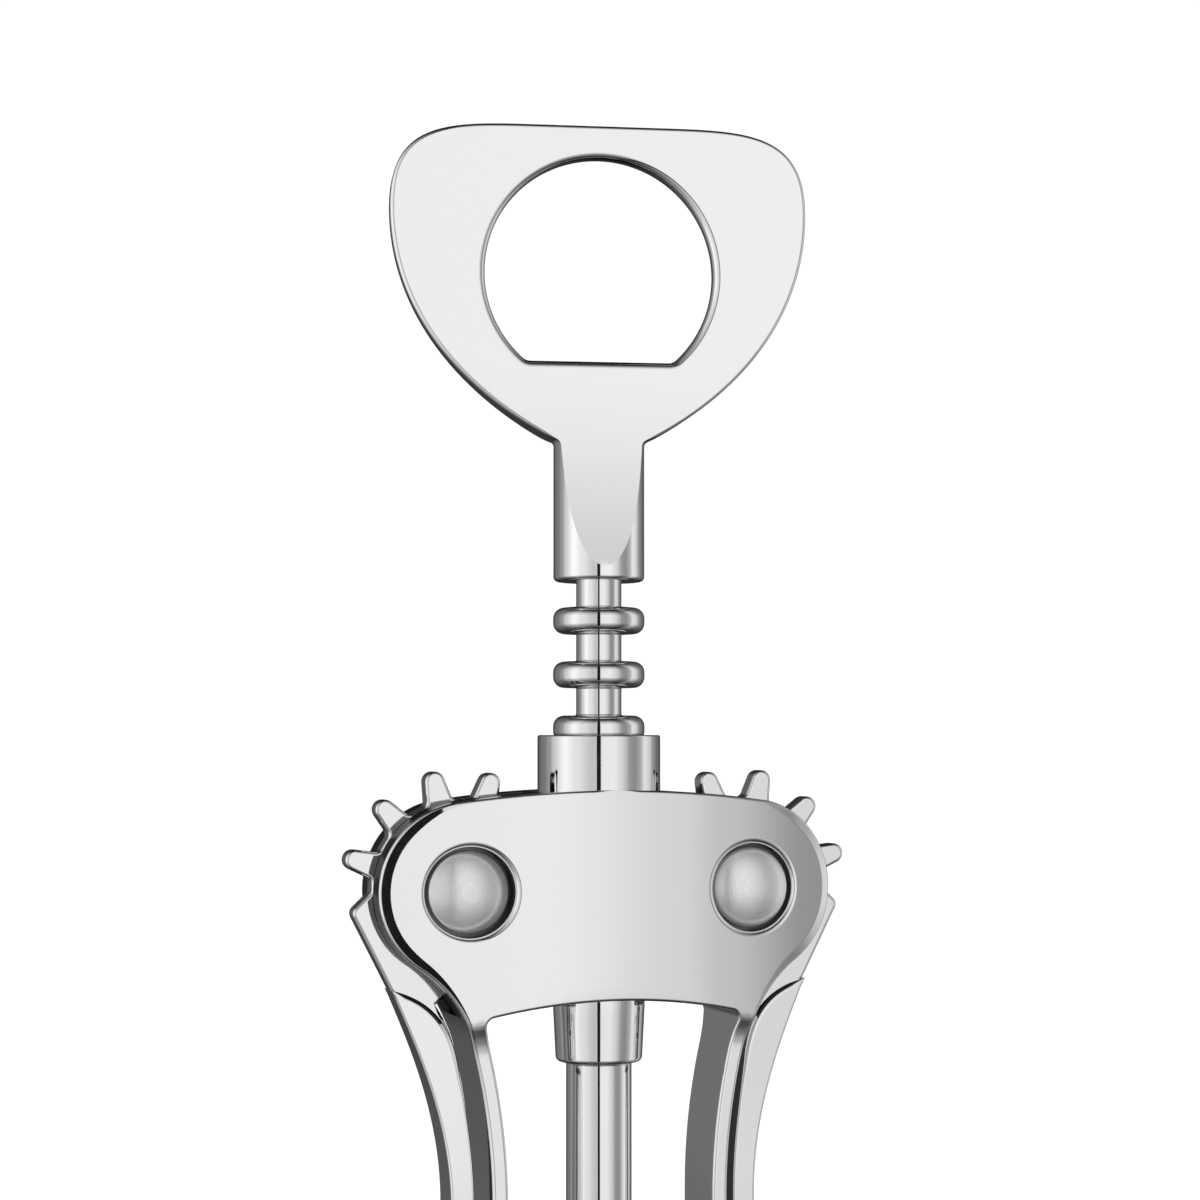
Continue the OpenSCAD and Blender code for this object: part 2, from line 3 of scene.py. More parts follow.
import bpy
import numpy as np
from mathutils.geometry import delaunay_2d_cdt
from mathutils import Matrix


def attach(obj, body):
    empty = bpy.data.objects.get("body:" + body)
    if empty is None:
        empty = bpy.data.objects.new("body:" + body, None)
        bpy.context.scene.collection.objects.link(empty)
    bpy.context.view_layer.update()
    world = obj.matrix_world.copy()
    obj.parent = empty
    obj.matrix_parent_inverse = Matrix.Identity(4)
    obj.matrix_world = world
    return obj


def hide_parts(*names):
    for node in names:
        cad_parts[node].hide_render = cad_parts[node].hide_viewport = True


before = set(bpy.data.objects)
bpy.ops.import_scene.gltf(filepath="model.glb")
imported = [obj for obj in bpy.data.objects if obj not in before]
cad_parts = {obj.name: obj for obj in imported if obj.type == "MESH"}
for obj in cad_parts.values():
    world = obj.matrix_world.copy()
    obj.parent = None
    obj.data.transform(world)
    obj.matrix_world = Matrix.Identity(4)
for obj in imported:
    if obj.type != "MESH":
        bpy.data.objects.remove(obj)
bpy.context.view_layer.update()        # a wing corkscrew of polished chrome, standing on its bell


# The studio and the camera. Polished chrome shows nothing but the room: broad soft lights left and
# right of the camera, grey side walls, a dark back, ceiling and underside, and a narrow black card
# behind the camera. The tool stands on white paper, which its reflections leave out.

scene = bpy.context.scene
scene.view_settings.view_transform = "Standard"

CAMERA_TURN = -18.0          # degrees round the tool, from the front towards its left
CAMERA_AWAY = 0.370
CAMERA_HEIGHT = 0.1088
CAMERA_TILT = 1.9
CAMERA_LENS = 78.7
CAMERA_SHIFT = 0.001, 0.04


def placed(name, data):
    """An object of its own in the scene."""
    made = bpy.data.objects.new(name, data)
    scene.collection.objects.link(made)
    return made


camera = placed("camera", bpy.data.cameras.new("camera"))
scene.camera = camera
camera.data.lens = CAMERA_LENS
camera.data.shift_x, camera.data.shift_y = CAMERA_SHIFT
camera.data.clip_start = 0.01
turned = math.radians(CAMERA_TURN)
camera.location = (CAMERA_AWAY * math.sin(turned), -CAMERA_AWAY * math.cos(turned), CAMERA_HEIGHT)
camera.rotation_euler = (math.radians(90 + CAMERA_TILT), 0, turned)


def add(tree, kind, **settings):
    """Adds a node and sets it: numbers and colours by the name of the socket or by _ and its number,
    the rest as its own settings."""
    node = tree.nodes.new(kind)
    for name, value in settings.items():
        socket = name.replace("_", " ")
        if hasattr(node, name):
            setattr(node, name, value)
        elif socket in node.inputs:
            node.inputs[socket].default_value = value
        else:
            node.inputs[int(name[1:])].default_value = value
    return node


def wire(tree, *pairs):
    """Links sockets, given as pairs of an output and an input. A node stands for its first socket."""
    for out, into in pairs:
        tree.links.new(getattr(out, "outputs", [out])[0], getattr(into, "inputs", [into])[0])


def blank(name):
    """A material without nodes yet, and its tree."""
    made = bpy.data.materials.new(name)
    made.use_nodes = True
    made.node_tree.nodes.clear()
    return made, made.node_tree


def ramp(tree, stops, soft="LINEAR"):
    """A ramp of greys, given as pairs of a place from 0 to 1 and a brightness."""
    node = add(tree, "ShaderNodeValToRGB")
    node.color_ramp.interpolation = soft
    while len(node.color_ramp.elements) < len(stops):
        node.color_ramp.elements.new(1.0)
    for element, (place, grey) in zip(node.color_ramp.elements, stops):
        element.position = place
        element.color = (grey, grey, grey, 1)
    return node


# Brightness of the room round the tool, in degrees to the right of the camera, and up from level
ROOM_ROUND = [(-180, 0.03), (-162, 0.04), (-150, 0.10), (-138, 0.17), (-125, 0.19), (-105, 0.32),
              (-92, 0.62), (-66, 1.0), (-42, 0.80), (-10, 0.56), (0, 0.62), (8, 0.86), (28, 0.88),
              (44, 0.70), (50, 0.56), (61, 0.31), (72, 0.27), (82, 0.38), (97, 0.80), (108, 0.66),
              (124, 0.28), (140, 0.15), (152, 0.12), (165, 0.05), (180, 0.03)]
ROOM_UP = [(-90, 0.03), (-62, 0.07), (-42, 0.28), (-25, 0.60), (-14, 0.95), (-6, 1.0), (14, 1.0), (36, 0.74),
           (50, 0.32), (66, 0.06), (90, 0.02)]

world = bpy.data.worlds.new("room")
scene.world = world
world.use_nodes = True
room = world.node_tree
room.nodes.clear()
where = add(room, "ShaderNodeTexCoord")
facing = add(room, "ShaderNodeVectorRotate", rotation_type="Z_AXIS", Angle=-turned)
parts = add(room, "ShaderNodeSeparateXYZ")
back_y = add(room, "ShaderNodeMath", operation="MULTIPLY", _1=-1.0)
around = add(room, "ShaderNodeMath", operation="ARCTAN2")
share = add(room, "ShaderNodeMapRange", From_Min=-math.pi, From_Max=math.pi)
walls = ramp(room, [((a + 180) / 360, g) for a, g in ROOM_ROUND], "EASE")
slope = add(room, "ShaderNodeMath", operation="ARCSINE")
height = add(room, "ShaderNodeMapRange", From_Min=-math.pi / 2, From_Max=math.pi / 2)
layers = ramp(room, [((a + 90) / 180, g) for a, g in ROOM_UP], "EASE")
lit = add(room, "ShaderNodeMath", operation="MULTIPLY")
path = add(room, "ShaderNodeLightPath")
plainly = add(room, "ShaderNodeMath", operation="MAXIMUM")
glow = add(room, "ShaderNodeBackground")
plain = add(room, "ShaderNodeBackground", Color=(1, 1, 1, 1), Strength=1.05)
seen = add(room, "ShaderNodeMixShader")
out = add(room, "ShaderNodeOutputWorld")
wire(room, (where.outputs["Generated"], facing.inputs["Vector"]), (facing, parts),
     (parts.outputs[1], back_y), (parts, around), (back_y, around.inputs[1]), (around, share),
     (share, walls), (parts.outputs[2], slope), (slope, height), (height, layers), (walls, lit),
     (layers, lit.inputs[1]), (lit, glow), (path.outputs["Is Camera Ray"], plainly),
     (path.outputs["Is Diffuse Ray"], plainly.inputs[1]), (plainly, seen), (glow, seen.inputs[1]),
     (plain, seen.inputs[2]), (seen, out))

FLOOR_R = 0.9
FLOOR_SINK = 0.00002
FLOOR_SIDES = 128
floor_mesh = bpy.data.meshes.new("floor")
ring = np.radians(np.linspace(0, 360, FLOOR_SIDES, endpoint=False))
floor_rim = np.stack([FLOOR_R * np.cos(ring), FLOOR_R * np.sin(ring), 0 * ring - FLOOR_SINK], 1)
floor_mesh.from_pydata(floor_rim.tolist(), [], [list(range(FLOOR_SIDES))])
floor = placed("floor", floor_mesh)
pale, nodes = blank("pale floor")
matt = add(nodes, "ShaderNodeBsdfDiffuse", Color=(0.86, 0.86, 0.86, 1))
lift = add(nodes, "ShaderNodeEmission", Color=(1, 1, 1, 1), Strength=0.30)
both = add(nodes, "ShaderNodeAddShader")
clear = add(nodes, "ShaderNodeBsdfTransparent")
light = add(nodes, "ShaderNodeLightPath")
shown = add(nodes, "ShaderNodeMixShader")
out = add(nodes, "ShaderNodeOutputMaterial")
wire(nodes, (matt, both), (lift, both.inputs[1]), (light.outputs["Is Glossy Ray"], shown),
     (both, shown.inputs[1]), (clear, shown.inputs[2]), (shown, out))
floor_mesh.materials.append(pale)

# The black card that the camera looks past, which only reflections see
CARD_AWAY = 0.376
CARD_HALF = 0.025
CARD_LOW, CARD_HIGH = -0.25, 0.90
card_mesh = bpy.data.meshes.new("card")
card_x, card_y = CARD_AWAY * math.sin(turned), -CARD_AWAY * math.cos(turned)
side_x, side_y = math.cos(turned) * CARD_HALF, math.sin(turned) * CARD_HALF
card_mesh.from_pydata([(side * side_x + card_x, side * side_y + card_y, z)
                       for side, z in ((-1, CARD_LOW), (1, CARD_LOW), (1, CARD_HIGH), (-1, CARD_HIGH))],
                      [], [(3, 2, 1, 0)])
card = placed("card", card_mesh)
black, nodes = blank("black card")
velvet = add(nodes, "ShaderNodeBsdfDiffuse", Color=(0.01, 0.01, 0.01, 1))
out = add(nodes, "ShaderNodeOutputMaterial")
wire(nodes, (velvet, out))
card_mesh.materials.append(black)
card.visible_camera = card.visible_diffuse = card.visible_shadow = card.visible_transmission = False


# The frame: one zinc casting of head, collar, legs and bell, polished and chromed. The head has
# a bowed face front and back with softly rolled edges, a seat for each rivet, and a slot on each
# side in which an arm's gear turns. The bell and the collar are turned true after casting.

MM = 0.001
PIVOT = np.array([20.5, 87.4])
HEAD_HALF = 8.65
BOW_R = 165.0
HEAD_TOP = 101.2
HEAD_LOW = 72.2
WINDOW_SAG = 2.6
CORNER_R = 1.2
CHEEK_R = 12.4
HOLLOW_R = 18.0
BEND_R = 90.0
BEND_Z = 44.0
BLEND_TOP = 73.5
BLEND_H = 9.1
SOFT = 0.2
LEG_T = 2.2
LEG_HALF = 6.0
LEG_IN = 14.8
LEG_OUT = LEG_IN + LEG_T
SLOT_HALF = 1.75
SWEEP_R = 17.2
BORE_R = 6.53
COLLAR_R = 8.65
COLLAR_TOP = 108.8
SEAT_R = 6.2
SEAT_EDGE = 0.8
SEAT_FLOOR = 4.37
BELL_H = 26.0
BELL_BORE = 15.6
BELL_WALL = 2.4
BELL_TOP_T = 3.4
BEAD_H = 3.2
BEAD_OUT = 0.5
FOOT_SINK = 1.2
HEAD_HOLE_R = 7.5
COLLAR_SINK = 0.6
COLLAR_ROUND = 0.3
BORE_LAP = 2.0
TOP_ROUND = 0.45
LEG_ROUND = 0.5
LEG_EDGE_TOP, HEAD_EDGE_LOW = 60.0, 72.0
THIN_ROUND = 0.004
CHEEK_FROM, CHEEK_FULL = 19.0, 29.5
CHEEK_ROUND = 0.35
CHEEK_BEVEL = 1.3
LEFT_TILT = 2.8
LEFT_TWIST = 0.45
RIGHT_TILT = 15.5
MOST_STEEP = 2.0
TILT_FADE = 0.04
COLLAR_REACH = 2.0
# Painted shade on a slot's edges: how dark the plating is painted at the middle plane, how rough it is there,
# and between which distances from that plane both fade out
PAINTED_SLOT_SHADE, DULL_ROUGHNESS = 0.05, 0.42
SHADE_AND_DULL_FROM, SHADE_AND_DULL_FULL = 0.0048, 0.0078
MERGE = 0.002
ROW_SHARE = 0.87
CLEAR_SHARE = 0.5
SOFT_SHARE = 0.3


def arc(centre, r, start, end, steps, out=1):
    """Points on a circle, centre + r (cos a, sin a) for a from start to end, each with its normal."""
    a = np.radians(np.linspace(start, end, steps + 1))
    n = np.stack([np.cos(a), np.sin(a)], 1)
    return np.hstack([np.asarray(centre) + r * n, out * n])


def bend(p, steps, out=1):
    """A cubic curve u3 p0 + 3u2t p1 + 3ut2 p2 + t3 p3. Its normal is its direction turned to the right."""
    t = np.linspace(0, 1, steps + 1)[:, None]
    u = 1 - t
    p = np.asarray(p, float)
    points = u**3 * p[0] + 3 * u * u * t * p[1] + 3 * u * t * t * p[2] + t**3 * p[3]
    way = unit(u * u * (p[1] - p[0]) + 2 * u * t * (p[2] - p[1]) + t * t * (p[3] - p[2]))
    return np.hstack([points, out * np.stack([way[:, 1], -way[:, 0]], 1)])


def rounded(corners, radii, steps=6, closed=True):
    """Straight lines whose corners are rounded. Each arc has its corner's radius, touches both lines
    and turns the normal from one line's to the next's. The outside is on the right."""
    corners = np.asarray(corners, float)
    into = unit(corners - np.roll(corners, 1, 0))
    away = np.roll(into, -1, 0)
    turn = np.arctan2(into[:, 0] * away[:, 1] - into[:, 1] * away[:, 0], (into * away).sum(1))
    r = np.broadcast_to(radii, turn.shape)
    n_in = np.stack([into[:, 1], -into[:, 0]], 1)
    signed = (np.sign(turn) * r)[:, None]
    middle = corners - into * (r * np.abs(np.tan(turn / 2)))[:, None] - n_in * signed
    a = np.arctan2(n_in[:, 1], n_in[:, 0])[:, None] + turn[:, None] * np.linspace(0, 1, steps + 1)
    n = np.stack([np.cos(a), np.sin(a)], 2)
    run = np.concatenate([middle[:, None] + n * signed[:, None], n], 2).reshape(-1, 4)
    if closed:
        return run
    return np.vstack([np.hstack([corners[0], n_in[1]]), run[steps + 1:-steps - 1],
                      np.hstack([corners[-1], n_in[-1]])])


def unit(v):
    """Vectors made one long."""
    return v / np.maximum(np.linalg.norm(v, axis=-1), 1e-12)[..., None]


def heading(p, q):
    """The direction from p to q, in degrees."""
    return math.degrees(math.atan2(q[1] - p[1], q[0] - p[0]))


def meet(p, a, q, b):
    """Where a circle about p and one about q meet, on the right of the way from p to q."""
    p, q = np.asarray(p, float), np.asarray(q, float)
    d = np.linalg.norm(q - p)
    turn = math.radians(heading(p, q)) - math.acos((a * a - b * b + d * d) / (2 * d) / a)
    return p + a * np.array([math.cos(turn), math.sin(turn)])


def flip(run):
    """A run of points with normals turned over about the middle line, in the other order."""
    return (run * np.array([-1, 1, -1, 1]))[::-1]


def grid(points, normals, round_rows=False, keep=None):
    """A patch: rows and columns of points cut into triangles, closed on itself past the last row if
    asked. keep leaves cells out."""
    rows, columns = points.shape[:2]
    i, j = np.meshgrid(np.arange(rows if round_rows else rows - 1), np.arange(columns - 1), indexing="ij")
    a, b = i * columns + j, i * columns + j + 1
    c, d = (i + 1) % rows * columns + j, (i + 1) % rows * columns + j + 1
    if keep is not None:
        a, b, c, d = (v[keep] for v in (a, b, c, d))
    a, b, c, d = (v.ravel() for v in (a, b, c, d))
    tris = np.vstack([np.stack([a, b, d], 1), np.stack([a, d, c], 1)])
    return points.reshape(-1, 3), normals.reshape(-1, 3), tris


def lathe(run, turns=128):
    """A profile of radius and height turned round the Z axis: (r cos a, r sin a, height)."""
    a = np.linspace(0, 2 * np.pi, turns, endpoint=False)[:, None]
    points, normals = (np.dstack([np.cos(a) * v[:, 0], np.sin(a) * v[:, 0], v[:, 1] + 0 * a])
                       for v in (run[:, :2], run[:, 2:]))
    return grid(points, normals, round_rows=True)


def inside(points, loops):
    """True for points in the outer loop and not in a hole: a ray to the right crosses an odd number
    of sides."""
    odd = np.zeros(len(points), bool)
    x, z = points[:, :1], points[:, 1:2]
    for loop in loops:
        x0, z0 = loop[:, 0], loop[:, 1]
        x1, z1 = np.roll(x0, -1), np.roll(z0, -1)
        across = x0 + (z - z0) * (x1 - x0) / np.where(z1 == z0, 1, z1 - z0)
        odd ^= (((z0 > z) != (z1 > z)) & (x < across)).sum(1) % 2 == 1
    return odd


def filled(loops, lift, gap):
    """A patch that fills a flat outline and its holes with triangles about gap wide, lifted onto a
    surface. Inner points stand in staggered rows and keep off the border."""
    border = np.vstack(loops)
    low, high = border.min(0), border.max(0)
    x, z = np.meshgrid(np.arange(low[0], high[0], gap), np.arange(low[1], high[1], gap * ROW_SHARE))
    x = x + (np.arange(len(x)) % 2)[:, None] * gap / 2
    inner = np.stack([x.ravel(), z.ravel()], 1)
    inner = inner[inside(inner, loops)]
    far = np.sqrt(((inner[:, None] - border[None])**2).sum(2)).min(1) > gap * CLEAR_SHARE
    points = np.vstack([border, inner[far]])
    after = np.concatenate([np.roll(np.arange(len(loop)), -1) + start for loop, start in
                            zip(loops, np.cumsum([0] + [len(loop) for loop in loops[:-1]]))])
    edges = np.stack([np.arange(len(border)), after], 1)
    _, _, faces, came_from, _, _ = delaunay_2d_cdt(points.tolist(), edges.tolist(), [], 0, 1e-6)
    first = np.array([old[0] for old in came_from])
    tris = first[np.array(faces)]
    tris = tris[inside(points[tris].mean(1), loops)]
    return *lift(points), tris


def rolled(run, r, lift, bevel=0.0, tilt=0.0, turns=7):
    """The edge between a face and its side. Over a bevel's width the face falls back, first along
    s2 / 2 for the softness and then straight at its tilt. A round then turns from the tilt to a
    quarter turn: out r (sin a - sin tilt) and back r (cos tilt - cos a)."""
    r, w, b = (np.broadcast_to(v, len(run))[:, None] for v in (r, bevel, np.radians(tilt)))
    s = np.linspace(0, 1, 4)
    soft = SOFT_SHARE * w
    a = b + (np.pi / 2 - b) * np.linspace(0, 1, turns + 1)
    far = np.hstack([soft * s, w, w + r * (np.sin(a[:, 1:]) - np.sin(b))])
    drop = np.tan(b) * np.hstack([soft * s * s / 2, w - soft / 2])
    drop = np.hstack([drop, drop[:, -1:] + r * (np.cos(b) - np.cos(a[:, 1:]))])
    lean = np.hstack([b * s, b, a[:, 1:]])
    plan = run[:, None, :2] - (far[:, -1:] - far)[:, :, None] * run[:, None, 2:]
    points, face_out = (v.reshape(*far.shape, 3) for v in lift(plan.reshape(-1, 2)))
    side = np.stack([run[:, 2], 0 * run[:, 2], run[:, 3]], 1)[:, None]
    normals = unit(face_out * np.cos(lean)[..., None] + side * np.sin(lean)[..., None])
    return plan[:, 0], points + np.array([0, 1, 0]) * drop[..., None], normals


def dressed(loops, edges, lift, gap):
    """The front of a plate: its face, its edges, each with a radius and maybe a bevel, and the lines
    where its sides begin."""
    edges = [rolled(run, edge[0], lift, *edge[1:]) for run, edge in zip(loops, edges)]
    patches = [filled([border for border, _, _ in edges], lift, gap)]
    patches += [grid(points, normals, round_rows=True) for _, points, normals in edges]
    return patches, [points[:, -1] for _, points, _ in edges]


def side_wall(run, near, far, closed=False):
    """A wall square to the front, along a run and from one depth to another."""
    depths = np.stack([np.broadcast_to(near, len(run)), np.broadcast_to(far, len(run))], 1)
    points = np.dstack([np.repeat(run[:, :1], 2, 1), depths, np.repeat(run[:, 1:2], 2, 1)])
    normals = np.dstack([np.repeat(run[:, 2:3], 2, 1), 0 * depths, np.repeat(run[:, 3:], 2, 1)])
    return grid(points, normals, round_rows=closed)


def mirrored(patches, axis):
    """Patches turned over to the other side: along axis 0 left and right, along axis 1 front and back."""
    sign = np.where(np.arange(3) == axis, -1, 1)
    return [(points * sign, normals * sign, tris) for points, normals, tris in patches]


def piece(name, patches, finish, body, nodes):
    """Joins patches into one mesh. Each triangle is turned the way of its normals, points that fall
    together are merged, triangles without area are dropped, and the normals stay at the corners."""
    starts = np.cumsum([0] + [len(p[0]) for p in patches[:-1]])
    points = np.vstack([p[0] for p in patches])
    normals = unit(np.vstack([p[1] for p in patches]))
    tris = np.vstack([p[2] + s for p, s in zip(patches, starts)])
    a, b, c = (points[tris[:, k]] for k in range(3))
    inward = (np.cross(b - a, c - a) * normals[tris].sum(1)).sum(1) < 0
    tris[inward] = tris[inward][:, ::-1]
    _, first, same = np.unique(np.round(points / MERGE).astype(np.int64), axis=0,
                               return_index=True, return_inverse=True)
    corners = same.reshape(-1)[tris]
    real = (corners != np.roll(corners, 1, 1)).all(1)
    corners, at_corners = corners[real], normals[tris[real]]
    mesh = bpy.data.meshes.new(name)
    mesh.vertices.add(len(first))
    mesh.vertices.foreach_set("co", (points[first] * MM).ravel())
    mesh.loops.add(corners.size)
    mesh.loops.foreach_set("vertex_index", corners.ravel())
    mesh.polygons.add(len(corners))
    mesh.polygons.foreach_set("loop_start", np.arange(0, corners.size, 3))
    mesh.polygons.foreach_set("use_smooth", np.ones(len(corners), bool))
    mesh.update(calc_edges=True)
    mesh.normals_split_custom_set(at_corners.reshape(-1, 3).tolist())
    mesh.materials.append(finish)
    made = placed(name, mesh)
    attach(made, body)
    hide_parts(*nodes)


# Polish: a buffed surface swells a little, and carries a faint haze in patches and hairlines
polish = bpy.data.node_groups.new("polish", "ShaderNodeTree")
for label, goes, kind in (("Place", "INPUT", "Vector"), ("Swell size", "INPUT", "Float"),
                          ("Roughness", "INPUT", "Float"), ("Height", "OUTPUT", "Float"),
                          ("Roughness", "OUTPUT", "Float")):
    polish.interface.new_socket(label, in_out=goes, socket_type="NodeSocket" + kind)
given, result = add(polish, "NodeGroupInput"), add(polish, "NodeGroupOutput")
swell = add(polish, "ShaderNodeTexNoise", Detail=1.0)
patchy = add(polish, "ShaderNodeTexNoise", Scale=260.0, Detail=3.0)
stretch = add(polish, "ShaderNodeVectorMath", operation="MULTIPLY")
stretch.inputs[1].default_value = (900.0, 900.0, 9000.0)
hairs = add(polish, "ShaderNodeTexNoise", Scale=1.0, Detail=2.0)
haze = add(polish, "ShaderNodeMapRange", From_Min=0.45, From_Max=0.75, To_Min=0.75, To_Max=1.5)
fine = add(polish, "ShaderNodeMapRange", From_Min=0.55, From_Max=0.8, To_Min=0.0, To_Max=0.035)
rough = add(polish, "ShaderNodeMath", operation="MULTIPLY_ADD")
wire(polish, (given.outputs["Place"], swell.inputs["Vector"]),
     (given.outputs["Swell size"], swell.inputs["Scale"]),
     (given.outputs["Place"], patchy.inputs["Vector"]), (given.outputs["Place"], stretch),
     (stretch, hairs.inputs["Vector"]), (patchy, haze), (hairs, fine), (haze, rough),
     (given.outputs["Roughness"], rough.inputs[1]), (fine, rough.inputs[2]),
     (rough, result.inputs["Roughness"]), (swell, result.inputs["Height"]))


def chrome(name, swell_size, swell_height, roughness, shade, shade_and_dull_reach=None):
    """A polished, plated material. The plating is nearly neutral, and a little cold. The last argument, if
    given, is how near to the middle plane the painted shade and the roughness fade out: nearer the middle
    the colour is darkened as painted shade for a slot's shadow and dark reflections, and the plating is
    rougher where a slot keeps the wheel out."""
    made, tree = blank(name)
    where = add(tree, "ShaderNodeTexCoord")
    buffed = add(tree, "ShaderNodeGroup", node_tree=polish)
    buffed.inputs["Swell size"].default_value = swell_size
    buffed.inputs["Roughness"].default_value = roughness
    bump = add(tree, "ShaderNodeBump", Strength=1.0, Distance=swell_height)
    metal = add(tree, "ShaderNodeBsdfPrincipled", Metallic=1.0)
    metal.inputs["Base Color"].default_value = (shade, shade, shade * 1.004, 1)
    out = add(tree, "ShaderNodeOutputMaterial")
    wire(tree, (where.outputs["Object"], buffed.inputs["Place"]),
         (buffed.outputs["Height"], bump.inputs["Height"]), (bump, metal.inputs["Normal"]),
         (buffed.outputs["Roughness"], metal.inputs["Roughness"]), (metal, out))
    if shade_and_dull_reach:
        across = add(tree, "ShaderNodeSeparateXYZ")
        off_middle = add(tree, "ShaderNodeMath", operation="ABSOLUTE")
        painted_shade = add(tree, "ShaderNodeMapRange", From_Min=shade_and_dull_reach[0], From_Max=shade_and_dull_reach[1],
                     To_Min=PAINTED_SLOT_SHADE, To_Max=shade)
        gloss = add(tree, "ShaderNodeMapRange", From_Min=shade_and_dull_reach[0], From_Max=shade_and_dull_reach[1],
                    To_Min=DULL_ROUGHNESS, To_Max=roughness)
        wire(tree, (where.outputs["Object"], across), (across.outputs[1], off_middle),
             (off_middle, painted_shade), (off_middle, gloss), (painted_shade, metal.inputs["Base Color"]),
             (gloss, metal.inputs["Roughness"]))
    return made


arch_r = (PIVOT[0]**2 + (HEAD_TOP - PIVOT[1])**2 - CHEEK_R**2) / (2 * (HEAD_TOP - PIVOT[1] - CHEEK_R))
arch_at = np.array([0, HEAD_TOP - arch_r])
bend_at = np.array([LEG_OUT + BEND_R, BEND_Z])
hollow_at = meet(PIVOT, CHEEK_R + HOLLOW_R, bend_at, BEND_R - HOLLOW_R)
window_r = (PIVOT[0]**2 + WINDOW_SAG**2) / (2 * WINDOW_SAG)
window_at = np.array([0, HEAD_LOW - window_r])
inner_r = BEND_R + LEG_T
corner_at = meet(bend_at, inner_r + CORNER_R, window_at, window_r - CORNER_R)
slot_top = meet(PIVOT, SWEEP_R, arch_at, arch_r)
slot_low = meet(PIVOT, SWEEP_R, hollow_at, HOLLOW_R)
foot_at = np.array([LEG_IN + LEG_T / 2, BELL_H - FOOT_SINK])


def half_depth(x, z):
    """Half the frame's depth: the bow of the head, sqrt(R2 - x2), eased into the narrower legs along a
    curve whose height falls as s3 + 3s/4 while its depth falls as 3t2 - 2t3, with s = t - 1/2."""
    bow = np.sqrt(BOW_R**2 - x**2) - (BOW_R - HEAD_HALF)
    fall = np.clip((BLEND_TOP - z) / BLEND_H, 0, 1)
    t = 0.5 + np.sinh(np.arcsinh(4 * fall - 2) / 3)
    leg = HEAD_HALF - (HEAD_HALF - LEG_HALF) * t * t * (3 - 2 * t) + 0.5 * np.logaddexp(0, z - BLEND_TOP)
    return -SOFT * np.logaddexp(-bow / SOFT, -leg / SOFT)


def head_face(points):
    """The front of the frame over flat points: y = -half depth, with the normal from its slopes."""
    x, z = points[:, 0], points[:, 1]
    slope_x = (half_depth(x + 0.01, z) - half_depth(x - 0.01, z)) / 0.02
    slope_z = (half_depth(x, z + 0.01) - half_depth(x, z - 0.01)) / 0.02
    return np.stack([x, -half_depth(x, z), z], 1), unit(np.stack([-slope_x, 0 * x - 1, -slope_z], 1))


def smooth(x, low, high):
    """A soft step from 0 to 1: 3t2 - 2t3."""
    t = np.clip((x - low) / (high - low), 0, 1)
    return t * t * (3 - 2 * t)


def head_edge(run):
    """Radius, width of bevel and tilt along the frame's edge. The cheeks are buffed to a bevel. On the
    left its tilt sideways grows in a straight line inwards, and the slope is that over the share of the
    edge's normal that points sideways. The top edge thins out by x2 where the collar rises from the face."""
    x, z = run[:, 0], run[:, 1]
    on_head = smooth(z, LEG_EDGE_TOP, HEAD_EDGE_LOW)
    cheek = smooth(np.abs(x), CHEEK_FROM, CHEEK_FULL) * on_head
    steeper = 1 / np.maximum(np.abs(run[:, 2]), 1 / MOST_STEEP)
    r = LEG_ROUND + (TOP_ROUND - LEG_ROUND) * on_head + (CHEEK_ROUND - TOP_ROUND) * cheek
    thinned = THIN_ROUND + x * x * (0.5 / COLLAR_R - 0.5 / BOW_R)
    near_collar = np.where(z > HEAD_TOP - COLLAR_REACH, thinned, r)
    left_tilt = (LEFT_TILT + LEFT_TWIST * (PIVOT[0] + CHEEK_R + x)) * steeper
    tilt = np.where(x < 0, left_tilt * smooth(cheek, 0, TILT_FADE), RIGHT_TILT * cheek)
    return np.minimum(r, near_collar), CHEEK_BEVEL * cheek, tilt


arch = arc(arch_at, arch_r, 90, heading(arch_at, slot_top), 12)
cheek = np.vstack([
    arc(arch_at, arch_r, heading(arch_at, slot_top), heading(arch_at, PIVOT), 12)[:-1],
    arc(PIVOT, CHEEK_R, heading(arch_at, PIVOT), heading(PIVOT, hollow_at), 64)[:-1],
    arc(hollow_at, HOLLOW_R, heading(hollow_at, PIVOT), heading(hollow_at, slot_low), 12, -1)])
leg = np.vstack([
    arc(hollow_at, HOLLOW_R, heading(hollow_at, slot_low), heading(bend_at, hollow_at), 6, -1)[:-1],
    arc(bend_at, BEND_R, heading(bend_at, hollow_at), 180, 30, -1),
    arc(foot_at, LEG_T / 2, 0, -180, 8),
    arc(bend_at, inner_r, 180, heading(bend_at, corner_at), 32),
    arc(corner_at, CORNER_R, heading(corner_at, bend_at), heading(window_at, corner_at), 8, -1)[1:]])
under = arc(window_at, window_r, heading(window_at, corner_at), 90, 14, -1)
right_side = np.vstack([arch[:-1], cheek[:-1], leg[:-1], under])
outline = np.vstack([right_side[:-1], flip(right_side)[:-1]])
seat = arc(PIVOT, SEAT_R, 0, 360, 96, -1)[:-1]
fronts, sides = dressed([outline, seat, flip(seat)], [head_edge(outline), [SEAT_EDGE], [SEAT_EDGE]],
                        head_face, gap=1.3)

